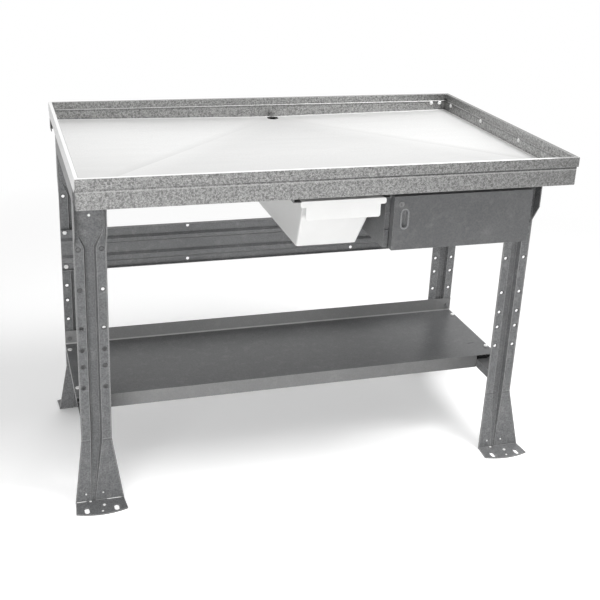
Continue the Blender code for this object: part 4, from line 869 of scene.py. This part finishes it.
def add_piece(name, bm, slot, body, look=None):
    bmesh.ops.recalc_face_normals(bm, faces=bm.faces)
    mesh = bpy.data.meshes.new(name)
    bm.to_mesh(mesh)
    bm.free()
    mesh.shade_smooth()
    mesh.set_sharp_from_angle(angle=math.radians(PIECE_SHARP_ANGLE))
    mesh.materials.append(look or MATERIALS[slot])
    obj = bpy.data.objects.new(name, mesh)
    bpy.context.scene.collection.objects.link(obj)
    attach(obj, body)


def turned(name, seat, axis, profile, slot, sides, squash=None, look=None):
    """Closed skin round an axis from (distance, radius) pairs; radius 0 closes an end."""
    turn = Vector((0, 0, 1)).rotation_difference(Vector(axis)).to_matrix()
    bm = bmesh.new()
    rings = []
    for distance, radius in profile:
        count = 1 if radius == 0 else sides
        ring = []
        for i in range(count):
            angle = 2 * math.pi * i / sides
            reach = radius * (squash(angle) if squash else 1)
            local = Vector((reach * math.cos(angle), reach * math.sin(angle), distance))
            ring.append(bm.verts.new(Vector(seat) + turn @ local))
        rings.append(ring)
    for low, high in zip(rings, rings[1:]):
        for i in range(sides):
            j = (i + 1) % sides
            corners = [low[i % len(low)], low[j % len(low)], high[j % len(high)], high[i % len(high)]]
            unique = list(dict.fromkeys(corners))
            if len(unique) > 2:
                bm.faces.new(unique)
    add_piece(name, bm, slot, "bench", look)


def hexagon(angle):
    """Reach of a hexagon's side at an angle, for a unit corner radius."""
    step = math.pi / 3
    return math.cos(step / 2) / math.cos(angle % step - step / 2)


def add_nut(name, tip, axis):
    """Washer and hex nut run up a shank; the shank's tip stands proud."""
    back = -Vector(axis)
    low, high = WASHER_SPAN
    washer = [(low, THREAD_RADIUS), (low, WASHER_RADIUS), (high, WASHER_RADIUS), (high, THREAD_RADIUS)]
    turned(name + "_washer", tip, back, washer + washer[:1], "zinc_steel", WASHER_SIDES)
    start, end = NUT_PROFILE[0][0], NUT_PROFILE[-1][0]
    nut = [(start, THREAD_RADIUS), *NUT_PROFILE, (end, THREAD_RADIUS)]
    turned(name, tip, back, nut + nut[:1], "zinc_steel", NUT_SIDES, squash=hexagon)


def add_screw(name, seat, axis, radius=SCREW_RADIUS):
    """Round screw or rivet head with a small recess."""
    profile = [(d * radius, r * radius) for d, r in SCREW_PROFILE]
    turned(name, seat, axis, profile, "zinc_steel", SCREW_SIDES, look=LIT_ZINC)


def add_bead(name, start, end, radius, look):
    """Weld bead: a round seam whose radius ripples along its length."""
    start, end = Vector(start), Vector(end)
    run = end - start
    ripples = max(BEAD_FEWEST, round(run.length / (BEAD_PITCH * radius)))
    steps = ripples * BEAD_STEPS
    profile = [(0, 0)]
    for i in range(steps + 1):
        share = i / steps
        taper = BEAD_END
        if 0 < share < 1:
            taper = min(1, BEAD_TAPER * share, BEAD_TAPER * (1 - share)) ** 0.5
        ripple = 1 - BEAD_RIPPLE + BEAD_RIPPLE * math.cos(2 * math.pi * share * ripples)
        profile.append((share * run.length, radius * taper * ripple))
    profile.append((run.length, 0))
    turned(name, start, run.normalized(), profile, "grey_paint", BEAD_SIDES, look=look)


def add_slide_cap(label):
    """Plate on the front of a drawer slide that closes its slot in the housing."""
    low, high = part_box(f"slide_fixed_{label}")
    inner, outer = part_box(f"slide_drawer_{label}")
    x0, x1 = min(low.x, inner.x) + CAP_INSET, max(high.x, outer.x) - CAP_INSET
    z0, z1 = low.z + CAP_INSET, high.z - CAP_INSET
    bm = bmesh.new()
    bmesh.ops.create_cube(bm, size=1)
    for vert in bm.verts:
        vert.co = Vector((x0 if vert.co.x < 0 else x1,
                          low.y - (CAP_FRONT if vert.co.y < 0 else CAP_BACK),
                          z0 if vert.co.z < 0 else z1))
    bmesh.ops.bevel(bm, geom=bm.edges[:], offset=CAP_BEVEL, segments=2, affect="EDGES")
    add_piece(f"slide_cap_{label}", bm, "slide_steel", "drawer", OWN_LOOKS["drawer_housing"])


def add_foot_seams(label):
    """Bend line and rivets between each leg's flare and its floor plate."""
    # The left feet's bend seams take the lit zinc copy: a painted highlight on the bend.
    look = LIT_ZINC if label == "left" else LEG_PAINT
    for end, out in ENDS:
        low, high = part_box(f"{end}_leg_{label}")
        middle = (low.x + high.x) / 2
        crease = (low.y + FOOT_REACH) if out < 0 else (high.y - FOOT_REACH)
        y = crease + out * FOOT_SEAM_OUT
        for i, (start, stop) in enumerate(FOOT_SEAMS):
            ends = (middle + start, y, PLATE_TOP), (middle + stop, y, PLATE_TOP)
            add_bead(f"foot_seam_{end}_{label}_{i + 1}", *ends, FOOT_SEAM_RADIUS, look)
        for i, (x, reach, radius) in enumerate(PLATE_RIVETS):
            seat = (middle + x, crease + out * reach, PLATE_TOP)
            add_screw(f"foot_rivet_{end}_{label}_{i + 1}", seat, (0, 0, 1), radius)
        lean = FLARE_LEAN * FLARE_MARK_Z / FLARE_START - FLARE_MARK_SINK
        for i, x in enumerate(FLARE_MARKS):
            seat = (middle + x, crease - out * lean, FLARE_MARK_Z)
            axis = (0, out * FLARE_START, FLARE_LEAN)
            add_screw(f"flare_rivet_{end}_{label}_{i + 1}", seat, axis, FLARE_MARK_RADIUS)


def add_hardware():
    for label in SIDES:
        for place in ("upstand", "stringer_upper", "stringer_lower"):
            low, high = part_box(f"bolt_{place}_{label}")
            tip = ((low.x + high.x) / 2, high.y, (low.z + high.z) / 2)
            add_nut(f"nut_{place}_{label}", tip, (0, 1, 0))
        for place, _ in ENDS:
            low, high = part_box(f"bolt_shelf_{place}_{label}")
            tip = ((low.x + high.x) / 2, (low.y + high.y) / 2, low.z)
            add_nut(f"nut_shelf_{place}_{label}", tip, (0, 0, -1))
        add_foot_seams(label)
    screws = [((side * TRAY_WALL_X, y, SCREW_Z), (-side, 0, 0)) for side in (-1, 1) for y in SCREW_ROW]
    screws += [((x, TRAY_WALL_Y, REAR_SCREW_Z), (0, -1, 0)) for x in REAR_SCREWS]
    for i, (seat, axis) in enumerate(screws):
        add_screw(f"tray_screw_{i + 1:02d}", seat, axis)
    # The seal wears the drain's near-black plating: painted shade.
    turned("drain_seal", (DRAIN.x, DRAIN.y, DRAIN_PAD_Z), (0, 0, 1), SEAL_PROFILE, "zinc_steel",
           SEAL_SIDES, look=OWN_LOOKS["drain_spout"])
    for label in SIDES:
        add_slide_cap(label)


# Stage

def make_floor():
    """Pale floor with a shadow, glowing to white away from the table."""
    half = FLOOR_HALF
    bm = bmesh.new()
    corners = ((-half, -half), (half, -half), (half, half), (-half, half))
    bm.faces.new([bm.verts.new((x, y, 0)) for x, y in corners])
    mesh = bpy.data.meshes.new("floor")
    bm.to_mesh(mesh)
    bm.free()
    floor = bpy.data.objects.new("floor", mesh)
    floor.location.z = -FLOOR_DROP
    bpy.context.scene.collection.objects.link(floor)
    tree = Tree("pale_floor")
    place = tree.coords()
    tone = tree.mix(tree.noise(place, *FLOOR_CLOUDS), FLOOR_DARK, FLOOR_LIGHT)
    tree.set(Base_Color=tone, Roughness=FLOOR_ROUGH)
    path = tree.node("ShaderNodeLightPath")
    seen = tree.most(path.outputs["Is Camera Ray"], path.outputs["Is Transmission Ray"])
    shown = tree.most(seen, path.outputs["Is Glossy Ray"])
    glow = tree.node("ShaderNodeEmission")
    y = tree.parts(place)[1]
    open_air = tree.most(crevice_shade(tree, SHADE_REACH, SHADE_DARK), tree.span(y, *SHADE_FRONT))
    lift = tree.both(open_air, FLOOR_LIFT, shown)
    front_lift = tree.both(tree.span(y, *LIFT_FRONT, 0.0, FRONT_LIFT), seen)
    tree.link(tree.math("ADD", lift, front_lift), glow.inputs["Strength"])
    near = tree.node("ShaderNodeAddShader")
    tree.link(tree.shader.outputs["BSDF"], near.inputs[0])
    tree.link(glow.outputs["Emission"], near.inputs[1])
    reach = tree.node("ShaderNodeVectorMath", operation="LENGTH")
    tree.link(place, reach.inputs[0])
    far = tree.both(seen, tree.span(reach.outputs["Value"], FLOOR_NEAR, FLOOR_FAR))
    white = tree.node("ShaderNodeEmission")
    blend = tree.node("ShaderNodeMixShader")
    tree.link(far, blend.inputs[0])
    tree.link(near.outputs["Shader"], blend.inputs[1])
    tree.link(white.outputs["Emission"], blend.inputs[2])
    tree.link(blend.outputs["Shader"], tree.out.inputs["Surface"])
    mesh.materials.append(tree.material)


def make_world():
    """White to the camera; reflections see a greyer room in front of the table."""
    world = bpy.data.worlds.new("studio")
    bpy.context.scene.world = world
    world.use_nodes = True
    nodes, links = world.node_tree.nodes, world.node_tree.links

    def node(kind, **values):
        made = nodes.new(kind)
        for name, value in values.items():
            setattr(made, name, value)
        return made

    background = nodes["Background"]
    background.inputs["Color"].default_value = (1, 1, 1, 1)
    path = node("ShaderNodeLightPath")
    direct = node("ShaderNodeMath", operation="MAXIMUM")
    links.new(path.outputs["Is Camera Ray"], direct.inputs[0])
    links.new(path.outputs["Is Transmission Ray"], direct.inputs[1])
    coords = node("ShaderNodeTexCoord")
    split = node("ShaderNodeSeparateXYZ")
    links.new(coords.outputs["Generated"], split.inputs[0])
    front = node("ShaderNodeMapRange")
    front.inputs["From Min"].default_value = FRONT_TURN[0]
    front.inputs["From Max"].default_value = FRONT_TURN[1]
    front.inputs["To Min"].default_value = REAR_GLOSS
    front.inputs["To Max"].default_value = FRONT_GLOSS
    links.new(split.outputs[1], front.inputs["Value"])
    glossy = node("ShaderNodeMix", data_type="FLOAT")
    glossy.inputs["A"].default_value = WORLD_LEVEL
    links.new(path.outputs["Is Glossy Ray"], glossy.inputs["Factor"])
    links.new(front.outputs["Result"], glossy.inputs["B"])
    level = node("ShaderNodeMix", data_type="FLOAT")
    level.inputs["B"].default_value = 1.0
    links.new(direct.outputs[0], level.inputs["Factor"])
    links.new(glossy.outputs["Result"], level.inputs["A"])
    links.new(level.outputs["Result"], background.inputs["Strength"])


def area_light(name, place, target, size, power, glossy):
    data = bpy.data.lights.new(name, "AREA")
    data.shape = "RECTANGLE"
    data.size, data.size_y = size
    data.energy = power
    light = bpy.data.objects.new(name, data)
    light.location = place
    light.rotation_euler = (Vector(target) - Vector(place)).to_track_quat("-Z", "Y").to_euler()
    light.visible_camera = False
    light.visible_glossy = glossy
    bpy.context.scene.collection.objects.link(light)


def make_studio():
    make_floor()
    make_world()
    for lamp in LAMPS:
        area_light(*lamp)


bpy.context.scene.view_settings.view_transform = "Standard"
make_camera()
dress_nodes()
add_hardware()
make_studio()
